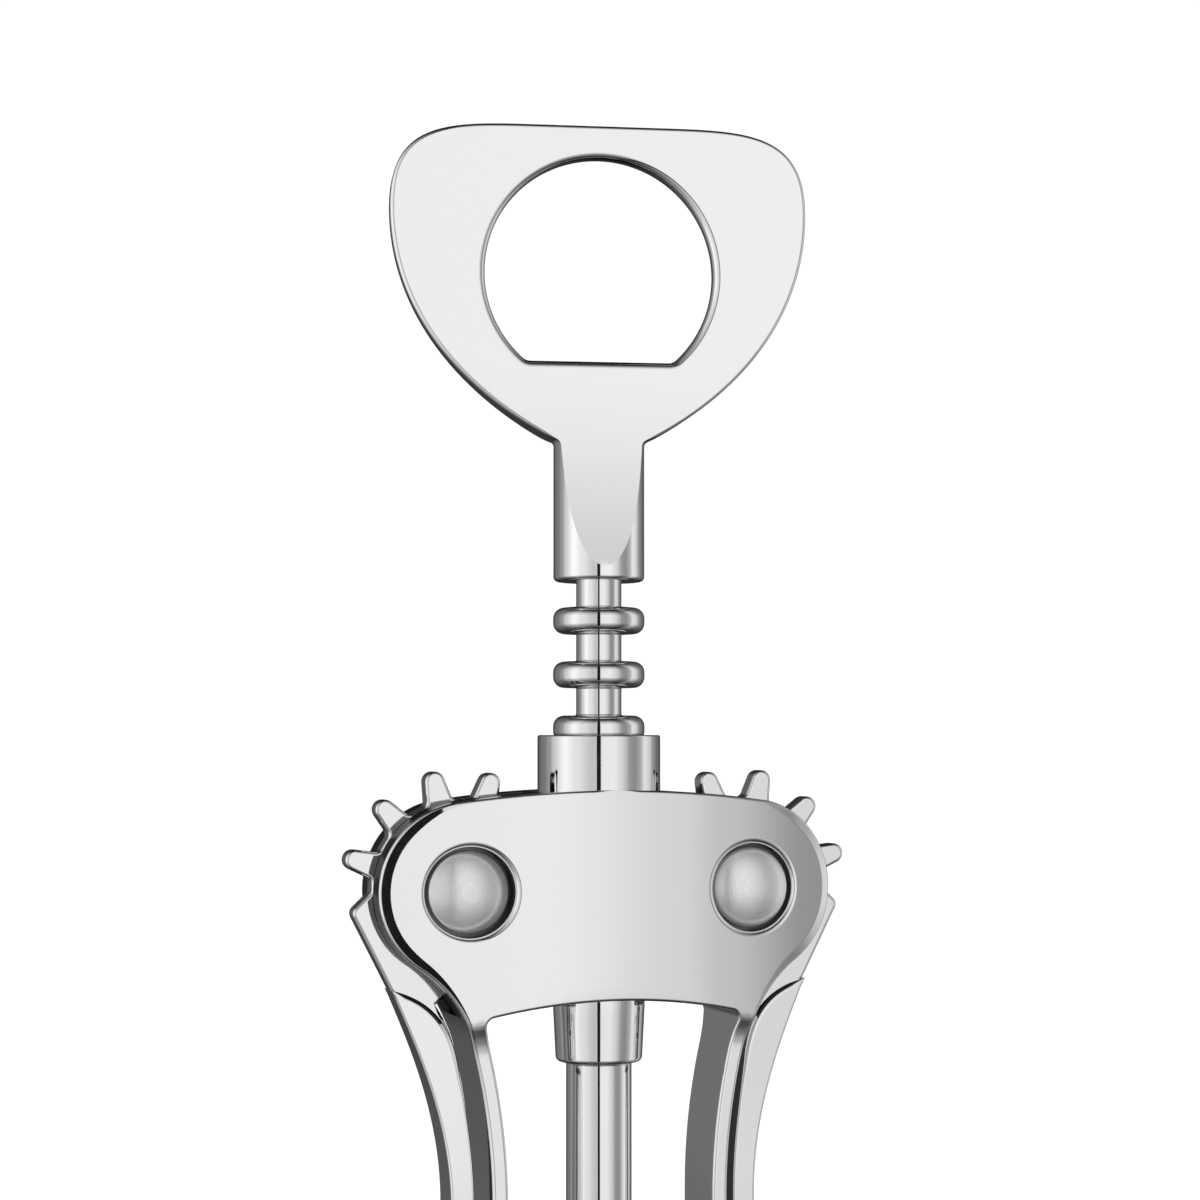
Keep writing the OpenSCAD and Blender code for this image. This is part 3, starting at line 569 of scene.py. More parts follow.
# The walls: whole round the legs, split by a slot round each cheek, pierced at the top and below
edge = sides[0]
slot_from = len(arch) - 1
slot_to = slot_from + len(cheek) - 1
window_from = slot_to + len(leg) - 1
middle = len(right_side) - 1
by_cheek = side_wall(right_side[slot_from:slot_to + 1], edge[slot_from:slot_to + 1, 1], -SLOT_HALF)
by_leg = side_wall(right_side[slot_to:window_from + 1], edge[slot_to:window_from + 1, 1],
                   -edge[slot_to:window_from + 1, 1])
by_seat = side_wall(seat, sides[1][:, 1], -SEAT_FLOOR, closed=True)
seat_floor = grid(*(np.dstack([v[:, :, 0], 0 * v[:, :, 0] - d, v[:, :, 1]]) for v, d in (
    (np.stack([seat[:, :2], PIVOT + 0 * seat[:, :2]], 1), SEAT_FLOOR), (np.zeros((96, 2, 2)), 1.0))),
    round_rows=True)


def over_head(points):
    """The top of the head over points seen from above: an arc, z = zc + sqrt(R2 - x2)."""
    z = np.sqrt(arch_r**2 - points[:, 0]**2)
    return (np.stack([points[:, 0], points[:, 1], z + arch_at[1]], 1),
            np.stack([points[:, 0], 0 * z, z], 1) / arch_r)


def over_window(points):
    """The top of the window over points seen from above: an arc, z = zc + sqrt(R2 - x2), facing down."""
    z = np.sqrt(window_r**2 - points[:, 0]**2)
    return (np.stack([points[:, 0], points[:, 1], z + window_at[1]], 1),
            -np.stack([points[:, 0], 0 * z, z], 1) / window_r)


def crosswise(half_line, hole_r, lift):
    """A wall across the tool, from a line on its front to the same line on its back, with a round
    hole at the axis. The line is given from the middle to the right."""
    line = np.vstack([(half_line[:0:-1] * np.array([-1, 1])), half_line])
    border = np.vstack([line, (line * np.array([1, -1]))[::-1]])
    return filled([border, arc([0, 0], hole_r, 0, 360, 96)[:-1, :2]], lift, gap=1.0)


# Inside a slot: its two faces, and its round wall down to the bore
low_turn, top_turn = heading(PIVOT, slot_low) % 360, heading(PIVOT, slot_top)
chord = math.degrees(math.acos((math.sqrt(BORE_R**2 - SLOT_HALF**2) - PIVOT[0]) / SWEEP_R))
slot_side = np.vstack([cheek[:-1], arc(PIVOT, SWEEP_R, low_turn, 360 - chord, 16),
                       arc(PIVOT, SWEEP_R, chord, top_turn, 6)[:-1]])[:, :2]
slot_face = filled([slot_side], lambda p: (np.insert(p, 1, -SLOT_HALF, axis=1),
                                           np.tile([0.0, 1.0, 0.0], (len(p), 1))), gap=2.5)


def slot_wall(to_turn, low):
    """The round wall of a slot, p = pivot + R (cos a, sin a), from the bore to where it leaves the head."""
    y = np.linspace(-SLOT_HALF, SLOT_HALF, 7)
    at_bore = np.degrees(np.arccos((np.sqrt(BORE_R**2 - y**2) - PIVOT[0]) / SWEEP_R))
    start = (360 - at_bore if low else at_bore)[:, None]
    a = np.radians(start + (to_turn - start) * np.linspace(0, 1, 17))
    normals = -np.dstack([np.cos(a), 0 * a, np.sin(a)])
    middle = np.dstack([PIVOT[0] + 0 * a, y[:, None] + 0 * a, PIVOT[1] + 0 * a])
    return grid(middle - SWEEP_R * normals, normals)


# The bore: a cylinder that the slots break through in its middle stretch
slot_turn = math.degrees(math.asin(SLOT_HALF / BORE_R))
bore_a = np.radians(np.unique(np.round(np.append(np.arange(0, 360, 3.75), [
    slot_turn, 180 - slot_turn, 180 + slot_turn, 360 - slot_turn]), 6)))
bore_a = np.append(bore_a, bore_a[0] + 2 * np.pi)[:, None]
bore_xy = BORE_R * np.hstack([np.cos(bore_a), np.sin(bore_a)])
slot_h = math.sqrt(SWEEP_R**2 - (PIVOT[0] - BORE_R)**2)
bore_z = np.hstack([over_window(bore_xy)[0][:, 2:], np.array([[PIVOT[1] - slot_h, PIVOT[1] + slot_h,
                                                             COLLAR_TOP - BORE_LAP]]) + 0 * bore_a])
bore_points = np.dstack([bore_xy[:, :1] + 0 * bore_z, bore_xy[:, 1:] + 0 * bore_z, bore_z])
bore_out = bore_points * np.array([-1, -1, 0])
walled = np.ones((len(bore_a) - 1, 3), bool)
walled[:, 1] = np.abs(np.sin((bore_a[1:, 0] + bore_a[:-1, 0]) / 2)) > SLOT_HALF / BORE_R
bore = grid(bore_points, bore_out, keep=walled)

collar = rounded([[COLLAR_R, HEAD_TOP - COLLAR_SINK], [COLLAR_R, COLLAR_TOP], [BORE_R, COLLAR_TOP],
                  [BORE_R, COLLAR_TOP - BORE_LAP]], [0, COLLAR_ROUND, COLLAR_ROUND, 0], closed=False)
bell_r = BELL_BORE + BELL_WALL
bead_r = bell_r + BEAD_OUT
crown_r = bell_r - LEG_IN
bell = np.vstack([
    [[BELL_BORE, 0, 0, -1]],
    arc([bead_r - BEAD_H / 4, BEAD_H / 4], BEAD_H / 4, -90, 0, 8),
    bend([[bead_r, BEAD_H / 2], [bead_r, BEAD_H], [bell_r, BEAD_H], [bell_r, 2 * BEAD_H]], 14),
    arc([LEG_IN, BELL_H - crown_r], crown_r, 0, 90, 16),
    rounded([[LEG_IN, BELL_H], [LEG_IN, BELL_H - BELL_TOP_T], [BELL_BORE, BELL_H - BELL_TOP_T],
             [BELL_BORE, 0]], 0, closed=False)])

crosswalls = [crosswise(edge[:slot_from + 1, :2], HEAD_HOLE_R, over_head),
              crosswise(edge[middle:window_from - 1:-1, :2], BORE_R, over_window)]
piece("frame_casting", fronts + mirrored(fronts, 1) + [by_leg] + mirrored([by_leg], 0)
      + crosswalls + [lathe(collar), lathe(bell, 192)],
      chrome("chrome casting", 140.0, 0.000008, 0.05, 0.93), "frame", ["frame"])

# The buffing wheel doesn't get into the slots, the seats and the bore, so their plating is rougher, and
# their colour is darkened as painted shade for the shadow and dark reflections inside them. The edges of the
# cheeks get the same painted shade and roughness, growing towards the slot.
cheek_walls = [by_cheek] + mirrored([by_cheek], 0)
piece("frame_cheek_edges_painted_shade", cheek_walls + mirrored(cheek_walls, 1),
      chrome("chrome cheek edges with painted shade", 140.0, 0.000008, 0.05, 0.93, shade_and_dull_reach=(SHADE_AND_DULL_FROM, SHADE_AND_DULL_FULL)),
      "frame", ["frame"])
hollows = [by_seat, seat_floor, slot_face]
hollows += mirrored(hollows, 0)
slot_walls = [slot_wall(low_turn, True), slot_wall(top_turn, False)]
piece("frame_insides_painted_shade", hollows + mirrored(hollows, 1) + slot_walls + mirrored(slot_walls, 0) + [bore],
      chrome("chrome insides with painted shade", 140.0, 0.000008, 0.38, 0.16), "frame", ["frame"])


# The liner: a moulded ring of matt dark plastic, pushed up into the bell. It meets the bottle's lip
# under a stop, so that the metal doesn't mark the glass.

LINER_LOW = 0.1
LINER_TOP = 22.59
LINER_R = 15.59
LIP_R = 14.75
STOP_R = 12.7
STOP_LOW = 11.1
STOP_TOP = 13.3
LINER_IN = 14.29
LINER_ROUNDS = [0.25, 0.1, 0.1, 0.3, 0.4, 0.5, 0.5, 0.4]

liner = rounded([[LIP_R, LINER_LOW], [LINER_R, LINER_LOW], [LINER_R, LINER_TOP], [LINER_IN, LINER_TOP],
                 [LINER_IN, STOP_TOP], [STOP_R, STOP_TOP], [STOP_R, STOP_LOW], [LIP_R, STOP_LOW]],
                LINER_ROUNDS, steps=4)
plastic, tree = blank("liner plastic")
where = add(tree, "ShaderNodeTexCoord")
grain = add(tree, "ShaderNodeTexNoise", Scale=2200.0, Detail=2.0)
tone = ramp(tree, [(0.3, 0.020), (0.7, 0.034)])
dull = add(tree, "ShaderNodeMapRange", To_Min=0.38, To_Max=0.55)
bump = add(tree, "ShaderNodeBump", Strength=0.6, Distance=0.00003)
body = add(tree, "ShaderNodeBsdfPrincipled")
out = add(tree, "ShaderNodeOutputMaterial")
wire(tree, (where.outputs["Object"], grain.inputs["Vector"]), (grain, tone), (grain, dull),
     (grain, bump.inputs["Height"]), (tone, body.inputs["Base Color"]), (dull, body.inputs["Roughness"]),
     (bump, body.inputs["Normal"]), (body, out))
piece("liner_ring", [lathe(np.vstack([liner, liner[:1]]), 144)], plastic, "frame", ["bell_liner"])


# The rivets: a hollow half from the front and a half with a pin from the back, pressed together.
# Each has a domed head with a short straight rim, left satin with the fine rings of its turning.

RIVET_R = 5.65
RIVET_RIM = 1.3
RIVET_H = 3.0
RIVET_FLOOR = 4.38
SHANK_R = 2.8
SHANK_STUB = 0.2
RIM_ROUND = 0.22
RIM_DROP = 0.1
DOME_INSET = 0.15
DOME_START = 0.6

dome_h = RIVET_H - RIVET_RIM
dome_r = (RIVET_R**2 + dome_h**2) / (2 * dome_h)
dome_turn = math.degrees(math.acos((RIVET_R - DOME_INSET) / dome_r))
rivet = np.vstack([
    rounded([[SHANK_R, SHANK_STUB], [SHANK_R, 0], [RIVET_R, 0], [RIVET_R, RIVET_RIM]], 0,
            closed=False)[:-1],
    arc([RIVET_R - RIM_ROUND, RIVET_RIM - RIM_DROP], RIM_ROUND, 0, dome_turn, 4),
    arc([0, RIVET_H - dome_r], dome_r, dome_turn + DOME_START, 90, 18)])
satin, tree = blank("satin rivet")
where = add(tree, "ShaderNodeTexCoord")
to_right = add(tree, "ShaderNodeVectorMath", operation="ABSOLUTE")
from_pivot = add(tree, "ShaderNodeVectorMath", operation="SUBTRACT")
from_pivot.inputs[1].default_value = (PIVOT[0] * MM, 0, PIVOT[1] * MM)
flat = add(tree, "ShaderNodeVectorMath", operation="MULTIPLY")
flat.inputs[1].default_value = (1, 0, 1)
away = add(tree, "ShaderNodeVectorMath", operation="LENGTH")
rings = add(tree, "ShaderNodeTexNoise", noise_dimensions="1D", Scale=5200.0, Detail=3.0)
broad = add(tree, "ShaderNodeTexNoise", noise_dimensions="1D", Scale=900.0, Detail=1.0)
sheen = add(tree, "ShaderNodeMapRange", From_Min=0.3, From_Max=0.7, To_Min=0.2, To_Max=0.33)
bump = add(tree, "ShaderNodeBump", Strength=0.5, Distance=0.00002)
body = add(tree, "ShaderNodeBsdfPrincipled", Metallic=0.72)
body.inputs["Base Color"].default_value = (0.90, 0.90, 0.904, 1)
out = add(tree, "ShaderNodeOutputMaterial")
wire(tree, (where.outputs["Object"], to_right), (to_right, from_pivot), (from_pivot, flat), (flat, away),
     (away.outputs["Value"], rings.inputs["W"]), (away.outputs["Value"], broad.inputs["W"]),
     (broad, sheen), (rings, bump.inputs["Height"]), (sheen, body.inputs["Roughness"]),
     (bump, body.inputs["Normal"]), (body, out))

points, normals, tris = lathe(rivet, 96)
front_rivet = (points[:, [0, 2, 1]] * np.array([1, -1, 1]) + np.array([PIVOT[0], -RIVET_FLOOR, PIVOT[1]]),
               normals[:, [0, 2, 1]] * np.array([1, -1, 1]), tris)
for side, front in (("left", mirrored([front_rivet], 0)), ("right", [front_rivet])):
    for place, head in (("front", front), ("back", mirrored(front, 1))):
        piece(f"{side}_rivet_{place}_head", head, satin, "frame", [f"{side}_rivet_{place}"])


# The arms: zinc castings, polished and chromed. Each has a gear sector of seven teeth, a thin web below
# it, and a lever that widens into a paddle. The gear and web are one flat plate, pierced for the
# pivot, and the lever is lofted down its curve.

GEAR_HALF = 1.5
GEAR_EDGE = 0.5
ROOT_R = 12.5
TIP_R = 16.8
ROOT_HALF = 1.877
TIP_HALF = 1.19
TIP_ROUND = 1.38
ROOT_FILLET = 0.9
FIRST_TOOTH = 16.5
TOOTH_STEP = 30
TEETH = 7
HUB_HOLE = 2.85
HUB_EDGE = 0.1
WEB_R = 15.6
WEB_TURN = math.radians(-10)
WEB_ROUNDS = [0, 0.6, 1.1, 0.8]
ARM_GAP = 1.9
ARM_T = 3.25
ARM_FLARE = 8.4
ARM_REACH = 81.4
STEP_SHARES = 0.63, 0.66
BACK_TURN = 212
INNER_SWEEP = 30
SHOULDER = PIVOT + np.array([9.85, -13.4])
STEP = np.array([LEG_OUT + ARM_GAP + STEP_SHARES[0] * ARM_T,
                 BEND_Z + STEP_SHARES[1] * (SHOULDER[1] - BEND_Z)])
WAIST_IN = np.array([LEG_OUT + ARM_GAP, BEND_Z])
WAIST_OUT = WAIST_IN + np.array([ARM_T, 0])
TIP_IN = WAIST_IN + np.array([ARM_FLARE, PIVOT[1] - ARM_REACH - BEND_Z])
TIP_OUT = TIP_IN + np.array([ARM_T, ARM_T / 2])
SHOULDER_HALF = 2.2
WAIST_HALF = 3.25
PADDLE_HALF = 5.5
LEVER_EDGE = 0.38
MOST_EDGE_SHARE = 0.9
SHOULDER_EDGE = 0.9
SHOULDER_FADE, SHOULDER_FULL = 58.0, 66.0


def spread(p, q, shares):
    """Points between two corners, by shares of the way across and of the way up or down."""
    return np.asarray(p) + (np.asarray(q) - np.asarray(p)) * np.asarray(shares)


def even(run, count, ease=None):
    """Points along a run, evenly spaced by its length or closing up towards its end."""
    run = run[:, :2]
    far = np.append(0, np.cumsum(np.linalg.norm(np.diff(run, axis=0), axis=1)))
    share = np.linspace(0, 1, count)
    share = np.sin(share * np.pi / 2) if ease else share
    return np.stack([np.interp(share * far[-1], far, run[:, k]) for k in (0, 1)], 1)


def loft(middle, u, v, a, w, r, steps=5):
    """A skin over sections that are rectangles with round corners: middle + u (+-(a - r) + r cos t)
    + v (+-(w - r) + r sin t). r is one radius a row, or a pair for the corners on u's two sides.
    Normals are the section's tangent crossed with the way along the rows."""
    t = np.radians(np.add.outer(np.arange(4) * 90, np.linspace(0, 90, steps + 1)).ravel())
    corner = np.repeat([[1, 1], [-1, 1], [-1, -1], [1, -1]], steps + 1, axis=0)
    t, corner = np.append(t, t[0]), np.vstack([corner, corner[:1]])
    a, w = (np.broadcast_to(s, len(middle))[:, None] for s in (a, w))
    r = np.stack(np.broadcast_arrays(*(r if isinstance(r, tuple) else (r, r)), a[:, 0])[:2], 1)
    r = np.where(corner[:, 0] > 0, r[:, :1], r[:, 1:])
    across = corner[:, 0] * (a - r) + r * np.cos(t)
    deep = corner[:, 1] * (w - r) + r * np.sin(t)
    points = middle[:, None] + u[:, None] * across[..., None] + v[:, None] * deep[..., None]
    tangent = u[:, None] * -np.sin(t)[:, None] + v[:, None] * np.cos(t)[:, None]
    normals = np.cross(tangent, np.gradient(points, axis=0))
    facing = (normals * (points - middle[:, None])).sum() < 0
    normals = unit(-normals if facing else normals)
    ends = unit(np.gradient(middle, axis=0))
    for row, way in ((0, -1), (-1, 1)):
        if a[row, 0] < 0.01 and w[row, 0] < 0.5:
            normals[row] = way * ends[row]
    return grid(points, normals)


tooth_turn = np.radians(FIRST_TOOTH + TOOTH_STEP * np.arange(TEETH))[:, None]
tooth = np.array([[ROOT_R, -ROOT_HALF], [TIP_R, -TIP_HALF], [TIP_R, TIP_HALF], [ROOT_R, ROOT_HALF]])
teeth = np.dstack([tooth[:, 0] * np.cos(tooth_turn) - tooth[:, 1] * np.sin(tooth_turn),
                   tooth[:, 0] * np.sin(tooth_turn) + tooth[:, 1] * np.cos(tooth_turn)]).reshape(-1, 2)
around_pivot = arc(PIVOT, ROOT_R, BACK_TURN, 270, 4)[:, :2]
inner_edge = arc(hollow_at, np.linalg.norm(STEP - hollow_at), heading(hollow_at, STEP) - INNER_SWEEP,
                 heading(hollow_at, STEP), 8)[:, :2]
gear_corners = np.vstack([PIVOT + teeth, around_pivot, inner_edge, SHOULDER - ARM_T, SHOULDER,
                          PIVOT + WEB_R * np.array([math.cos(WEB_TURN), math.sin(WEB_TURN)]),
                          PIVOT + [ROOT_R, 0]])
gear_radii = np.concatenate([np.tile([ROOT_FILLET, TIP_ROUND, TIP_ROUND, ROOT_FILLET], TEETH),
                             np.zeros(len(around_pivot) + len(inner_edge)), WEB_ROUNDS])
gear = rounded(gear_corners, gear_radii, steps=5)
gear = gear[np.append(True, np.linalg.norm(np.diff(gear[:, :2], axis=0), axis=1) > 0.003)]
hub = arc(PIVOT, HUB_HOLE, 0, 360, 48, -1)[:-1]
gear_fronts, gear_sides = dressed([gear, hub], [[GEAR_EDGE], [HUB_EDGE]],
                                  lambda p: (np.insert(p, 1, -GEAR_HALF, axis=1),
                                             np.tile([0.0, -1.0, 0.0], (len(p), 1))), gap=2.0)
gear_wall = side_wall(gear, gear_sides[0][:, 1], -gear_sides[0][:, 1], closed=True)
hub_wall = side_wall(hub, gear_sides[1][:, 1], -gear_sides[1][:, 1], closed=True)

tip_at = (TIP_IN + TIP_OUT) / 2
tip_round = np.linalg.norm(TIP_OUT - TIP_IN) / 2
foot_z = tip_at[1] - tip_round
shoulder_shares = [[0, 0], [0.51, 0.11], [0.89, 0.39], [1, 1]]
inner_top = np.vstack([bend(spread(SHOULDER, STEP, shoulder_shares), 24)[:-1],
                       bend(spread(STEP, WAIST_IN, [[0, 0], [0.32, 0.29], [1, 0.59], [1, 1]]), 24)])
outer_top = bend(spread(WAIST_OUT, SHOULDER, [[0, 0], [0, 0.42], [0.66, 0.78], [1, 1]]), 40)[::-1]
inner_foot = bend(spread(WAIST_IN, TIP_IN, [[0, 0], [0, 0.26], [0.26, 0.68], [1, 1]]), 40)
outer_foot = bend(spread(WAIST_OUT, TIP_OUT, [[0, 0], [0, 0.25], [0.3, 0.69], [1, 1]]), 40)
inner_line = np.vstack([even(inner_top, 56)[:-1], even(inner_foot, 30)[:-1],
                        even(arc(tip_at, tip_round, heading(tip_at, TIP_IN), -90, 12), 14, True)])
outer_line = np.vstack([even(outer_top, 56)[:-1], even(outer_foot, 30)[:-1],
                        even(arc(tip_at, tip_round, heading(tip_at, TIP_OUT), -90, 12), 14, True)])
middle_line = (inner_line + outer_line) / 2
grip = bend(spread([SHOULDER_HALF, SHOULDER[1]], [WAIST_HALF, BEND_Z],
                   [[0, 0], [0.33, 0.3], [1, 0.7], [1, 1]]), 30)
paddle = bend(spread([WAIST_HALF, BEND_Z], [PADDLE_HALF, foot_z + PADDLE_HALF],
                     [[0, 0], [0, 0.45], [1, 0.6], [1, 1]]), 30)
side_on = np.vstack([grip[:-1], paddle[:-1], arc([0, foot_z + PADDLE_HALF], PADDLE_HALF, 0, -90, 60)])[::-1]
wide = np.interp(middle_line[:, 1], side_on[:, 1], side_on[:, 0])
thick = np.linalg.norm(outer_line - inner_line, axis=1) / 2
flat_u = unit(outer_line - inner_line + np.array([1e-9, 0]))
flat_u[thick < 0.01] = flat_u[np.flatnonzero(thick >= 0.01)[[0, -1]]]
most = MOST_EDGE_SHARE * np.minimum(thick, wide)
near_shoulder = smooth(inner_line[:, 1], SHOULDER_FADE, SHOULDER_FULL)
inside_edge = LEVER_EDGE + (SHOULDER_EDGE - LEVER_EDGE) * near_shoulder
lever = loft(np.insert(middle_line, 1, 0, axis=1), np.insert(flat_u, 1, 0, axis=1),
             np.tile([0.0, 1.0, 0.0], (len(thick), 1)), thick, wide,
             (np.minimum(LEVER_EDGE, most), np.minimum(inside_edge, most)))
arm = gear_fronts + mirrored(gear_fronts, 1) + [gear_wall, hub_wall, lever]
arm_chrome = chrome("chrome arm", 150.0, 0.000008, 0.05, 0.93)
piece("right_arm_casting", arm, arm_chrome, "right_arm", ["right_arm"])
piece("left_arm_casting", mirrored(arm, 0), arm_chrome, "left_arm", ["left_arm"])


# The rack: a steel bar with seven rings, turned from one rod and chromed. The rings work as the teeth
# of a rack whichever way the bar is turned, and its head is pressed into the handle's neck.

CORE_R = 3.2
RACK_R = 6.45
RACK_T = 3.70
RACK_ROUND = 1.52
RACK_FILLET = 0.25
RACK_LOW = 79.29
RACK_STEP = 7.6
RACK_RINGS = 7
RACK_FOOT = 63.0
RACK_HEAD = 131.0

ring_z = RACK_LOW + RACK_STEP * np.arange(RACK_RINGS)[:, None]
ring_corners = np.dstack([np.tile([CORE_R, RACK_R, RACK_R, CORE_R], (RACK_RINGS, 1)),
                          ring_z + RACK_T / 2 * np.array([-1, -1, 1, 1])]).reshape(-1, 2)
rack = rounded(np.vstack([[CORE_R, RACK_FOOT], ring_corners, [CORE_R, RACK_HEAD]]),
               np.concatenate([[0], np.tile([RACK_FILLET, RACK_ROUND, RACK_ROUND, RACK_FILLET], RACK_RINGS),
                               [0]]), steps=8, closed=False)
turned_chrome = chrome("chrome turned", 110.0, 0.000005, 0.04, 0.93)
piece("ringed_bar", [lathe(rack)], turned_chrome, "spindle", ["rack"])


# The guide bush is a turned and chromed sleeve that steadies the bar in the frame. The smooth shaft
# below it is turned too, and the worm's shank is pinned into its foot.

BUSH_R = 6.45
BUSH_FOOT_R = 6.05
BUSH_WIDEST = 70.95
BUSH_LOW = 63.14
BUSH_TOP = 77.34
BUSH_ROUND = 0.7
BUSH_KNEE = 40.0
BUSH_HOLE = 3.26
BUSH_HOLE_EDGE = 0.1
SHAFT_R = 4.6
SHAFT_LOW = 38.04
SHAFT_TOP = 63.04
SHAFT_CHAMFER = 0.51
SHAFT_ROUNDS = [0, 0.1, 0.15, 0.2, 0.25, 0]
SHANK_HOLE = 1.51
HOLE_SHOWN = 3.0

bush = rounded([[BUSH_HOLE, BUSH_LOW], [BUSH_FOOT_R, BUSH_LOW], [BUSH_R, BUSH_WIDEST], [BUSH_R, BUSH_TOP],
                [BUSH_HOLE, BUSH_TOP]],
               [BUSH_HOLE_EDGE, BUSH_ROUND, BUSH_KNEE, BUSH_ROUND, BUSH_HOLE_EDGE])
piece("guide_sleeve", [lathe(np.vstack([bush, bush[:1]]))], turned_chrome, "carriage", ["guide_bush"])
shaft = rounded([[SHANK_HOLE, SHAFT_LOW + HOLE_SHOWN], [SHANK_HOLE, SHAFT_LOW],
                 [SHAFT_R - SHAFT_CHAMFER, SHAFT_LOW], [SHAFT_R, SHAFT_LOW + SHAFT_CHAMFER],
                 [SHAFT_R, SHAFT_TOP], [CORE_R, SHAFT_TOP]], SHAFT_ROUNDS, closed=False)
piece("smooth_shaft", [lathe(shaft)], turned_chrome, "spindle", ["shaft"])


# The handle: a plate with the opener hole, drawn down into a round neck with two scooped flats. It is
# one forging, ground and plated, and stands a little askew on its bar.

HANDLE_TURN = -10.0
PLATE_Z = 150.0
PLATE_TOP = 195.0
BROW = np.array([29.7, 183.05])
TOP_CORNER = np.array([10.03, 195.0])
PLATE_HALF = 1.5
PLATE_EDGE = 0.6
NECK_R = 6.42
NECK_Z = 130.40
NECK_ROUND = 0.71
FLAT_TOP = 172.0
FLAT_LOW = 132.35
NECK_FILLET = 0.9
FILLET_RUN = 6.0
FILLET_GAP = 0.2
NECK_BLEND = 1.5
BLEND_RISE = 8.0
HOLE_R = 16.3
HOLE_Z = 174.0
HOLE_EDGE = 1.1
OPENER_Z = 161.5
OPENER_CORNER = 1.7

scoop_shares = [[0, 0], [0.02, 0.3], [0.19, 0.655], [1, 1]]
scoop = bend(spread([PLATE_HALF, FLAT_TOP], [NECK_R, FLAT_LOW], scoop_shares), 400)[::-1]


def flat_depth(z):
    """Half the handle's thickness at a height: the plate, then the curve of the scooped flats."""
    return np.interp(z, scoop[:, 1], scoop[:, 0])


def handle_face(points):
    """The front of the handle over flat points: y = -half thickness, with the normal from its slope."""
    z = points[:, 1]
    slope = (flat_depth(z + 0.15) - flat_depth(z - 0.15)) / 0.3
    return np.insert(points, 1, -flat_depth(z), axis=1), unit(np.stack([0 * z, 0 * z - 1, -slope], 1))


under_shares = [[0, 0], [0, 0.5], [0.52, 0.83], [1, 1]]
top_shares = [[0, 0], [0.6, 0], [1, 0.03], [1, 1]]
under_curve = bend(spread(BROW, [NECK_R, PLATE_Z], under_shares), 60)[::-1]
way = unit(under_curve[1, :2] - under_curve[0, :2])
fillet = rounded([[NECK_R, PLATE_Z - FILLET_RUN], [NECK_R, PLATE_Z], [NECK_R, PLATE_Z] + FILLET_RUN * way],
                 [0, NECK_FILLET, 0], steps=10, closed=False)[1:-1]
past = under_curve[:, 0] > fillet[-1, 0] + FILLET_GAP
neck_z = FLAT_LOW + (fillet[0, 1] - FLAT_LOW) * np.linspace(0, 1, 40)**2
neck_side = np.stack([NECK_R + 0 * neck_z, neck_z, 1 + 0 * neck_z, 0 * neck_z], 1)
plate_side = np.vstack([under_curve[past] * np.array([1, 1, -1, -1]),
                        bend(spread(TOP_CORNER, BROW, top_shares), 24)[::-1][1:] * np.array([1, 1, -1, -1]),
                        [[0, PLATE_TOP, 0, 1]]])
right_run = np.vstack([neck_side[:-1], fillet, plate_side])
blend_end = fillet[-1, 0] + NECK_BLEND
as_neck = smooth(blend_end - right_run[:, 0], 0, blend_end - NECK_R)
as_neck = np.where(right_run[:, 1] > PLATE_Z + BLEND_RISE, 0, as_neck)
edge_share = PLATE_EDGE * (1 - as_neck)
depth = flat_depth(right_run[:, 1])


def neck_x(y):
    """How far a point of the neck's round side falls short of its widest: sqrt(R2 - y2) - R."""
    return np.sqrt(np.maximum(NECK_R**2 - y**2, 0)) - NECK_R


at_face = right_run.copy()
at_face[:, 0] += neck_x(depth) * as_neck
handle_loop = np.vstack([at_face[:-1], flip(at_face)[:-1]])
handle_radii = np.concatenate([edge_share[:-1], edge_share[::-1][:-1]])
hole_mid = np.array([0, HOLE_Z])
corner_z = OPENER_Z + OPENER_CORNER
opener_corner = np.array([math.sqrt((HOLE_R - OPENER_CORNER)**2 - (HOLE_Z - corner_z)**2), corner_z])
right_hole = np.vstack([arc(opener_corner, OPENER_CORNER, -90, heading(hole_mid, opener_corner), 10, -1)[:-1],
                        arc(hole_mid, HOLE_R, heading(hole_mid, opener_corner), 90, 70, -1)])
opener = np.vstack([right_hole[:-1], flip(right_hole)])
handle_fronts, handle_sides = dressed([handle_loop, opener], [[handle_radii], [HOLE_EDGE]], handle_face,
                                      gap=1.2)
hole_wall = side_wall(opener, handle_sides[1][:, 1], -handle_sides[1][:, 1], closed=True)

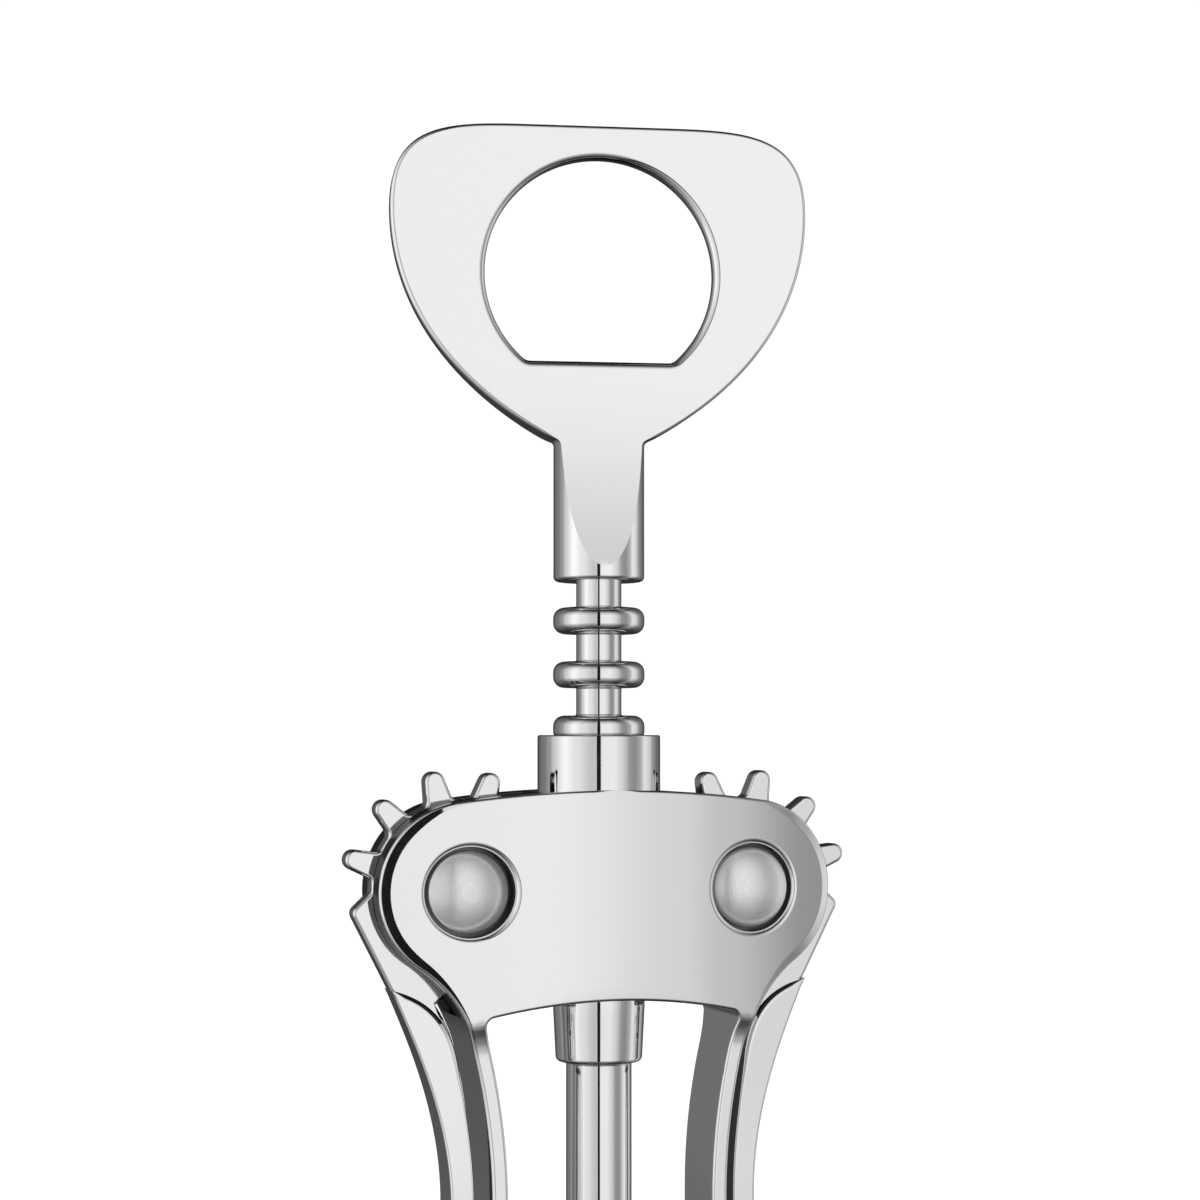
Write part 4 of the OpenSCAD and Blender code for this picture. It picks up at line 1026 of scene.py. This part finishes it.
y = np.linspace(-1, 1, 25) * (depth - edge_share)[:, None]
s = as_neck[:, None]
round_x = (NECK_R + neck_x(y)) / NECK_R
side_points = np.dstack([right_run[:, :1] + neck_x(y) * s, y, right_run[:, 1:2] + 0 * y])
side_out = np.dstack([right_run[:, 2:3] * (1 - s + s * round_x), right_run[:, 2:3] * s * y / NECK_R,
                      right_run[:, 3:] + 0 * y])
handle_wall = grid(side_points, unit(side_out))
neck_end = rounded([[CORE_R, NECK_Z], [NECK_R, NECK_Z], [NECK_R, FLAT_LOW]], [0, NECK_ROUND, 0], closed=False)
straight = (handle_fronts + mirrored(handle_fronts, 1) + [hole_wall, handle_wall] + mirrored([handle_wall], 0)
            + [lathe(neck_end, 96)])
c, s = math.cos(math.radians(HANDLE_TURN)), math.sin(math.radians(HANDLE_TURN))
turn_z = np.array([[c, s, 0], [-s, c, 0], [0, 0, 1]])
# The handle's plating is painted brighter than the casting's, 0.98 against 0.93: painted light for the
# brighter reflection on its face
piece("handle_plate", [(points @ turn_z, normals @ turn_z, tris) for points, normals, tris in straight],
      chrome("chrome handle", 120.0, 0.000008, 0.05, 0.98), "spindle", ["handle"])


# The worm: a steel wire wound to the right, which leaves its shank on the axis, winds outwards and is
# ground to a point. The shank is held in the shaft by a cross pin.

WIRE_R = 1.4
COIL_R = 2.9
WORM_PITCH = 8.4
WORM_TOP = 37.34
WORM_TIP = 11.7
LEAD_IN = 0.75
TAPER = 0.85
SHANK_TURNS = 0.6

turns = np.linspace(-SHANK_TURNS, (WORM_TOP - WORM_TIP) / WORM_PITCH, 260)
t = np.clip(turns / LEAD_IN, 0, 1)
wide = COIL_R * t * t * (3 - 2 * t)
a = -2 * np.pi * turns
wire_line = np.stack([wide * np.cos(a), wide * np.sin(a), WORM_TOP - WORM_PITCH * turns], 1)
along = unit(np.gradient(wire_line, axis=0))
across = unit(np.cross(along, np.stack([-np.sin(a), np.cos(a), 0 * a], 1)))
wire_r = WIRE_R * np.sqrt(np.clip((turns[-1] - turns) / TAPER, 0, 1))
steel = chrome("worm steel", 160.0, 0.000008, 0.11, 0.80)
piece("worm_wire", [loft(wire_line, across, np.cross(along, across), wire_r, wire_r, wire_r, steps=4)],
      steel, "spindle", ["worm"])
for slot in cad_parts["worm_pin"].material_slots:
    slot.material = steel
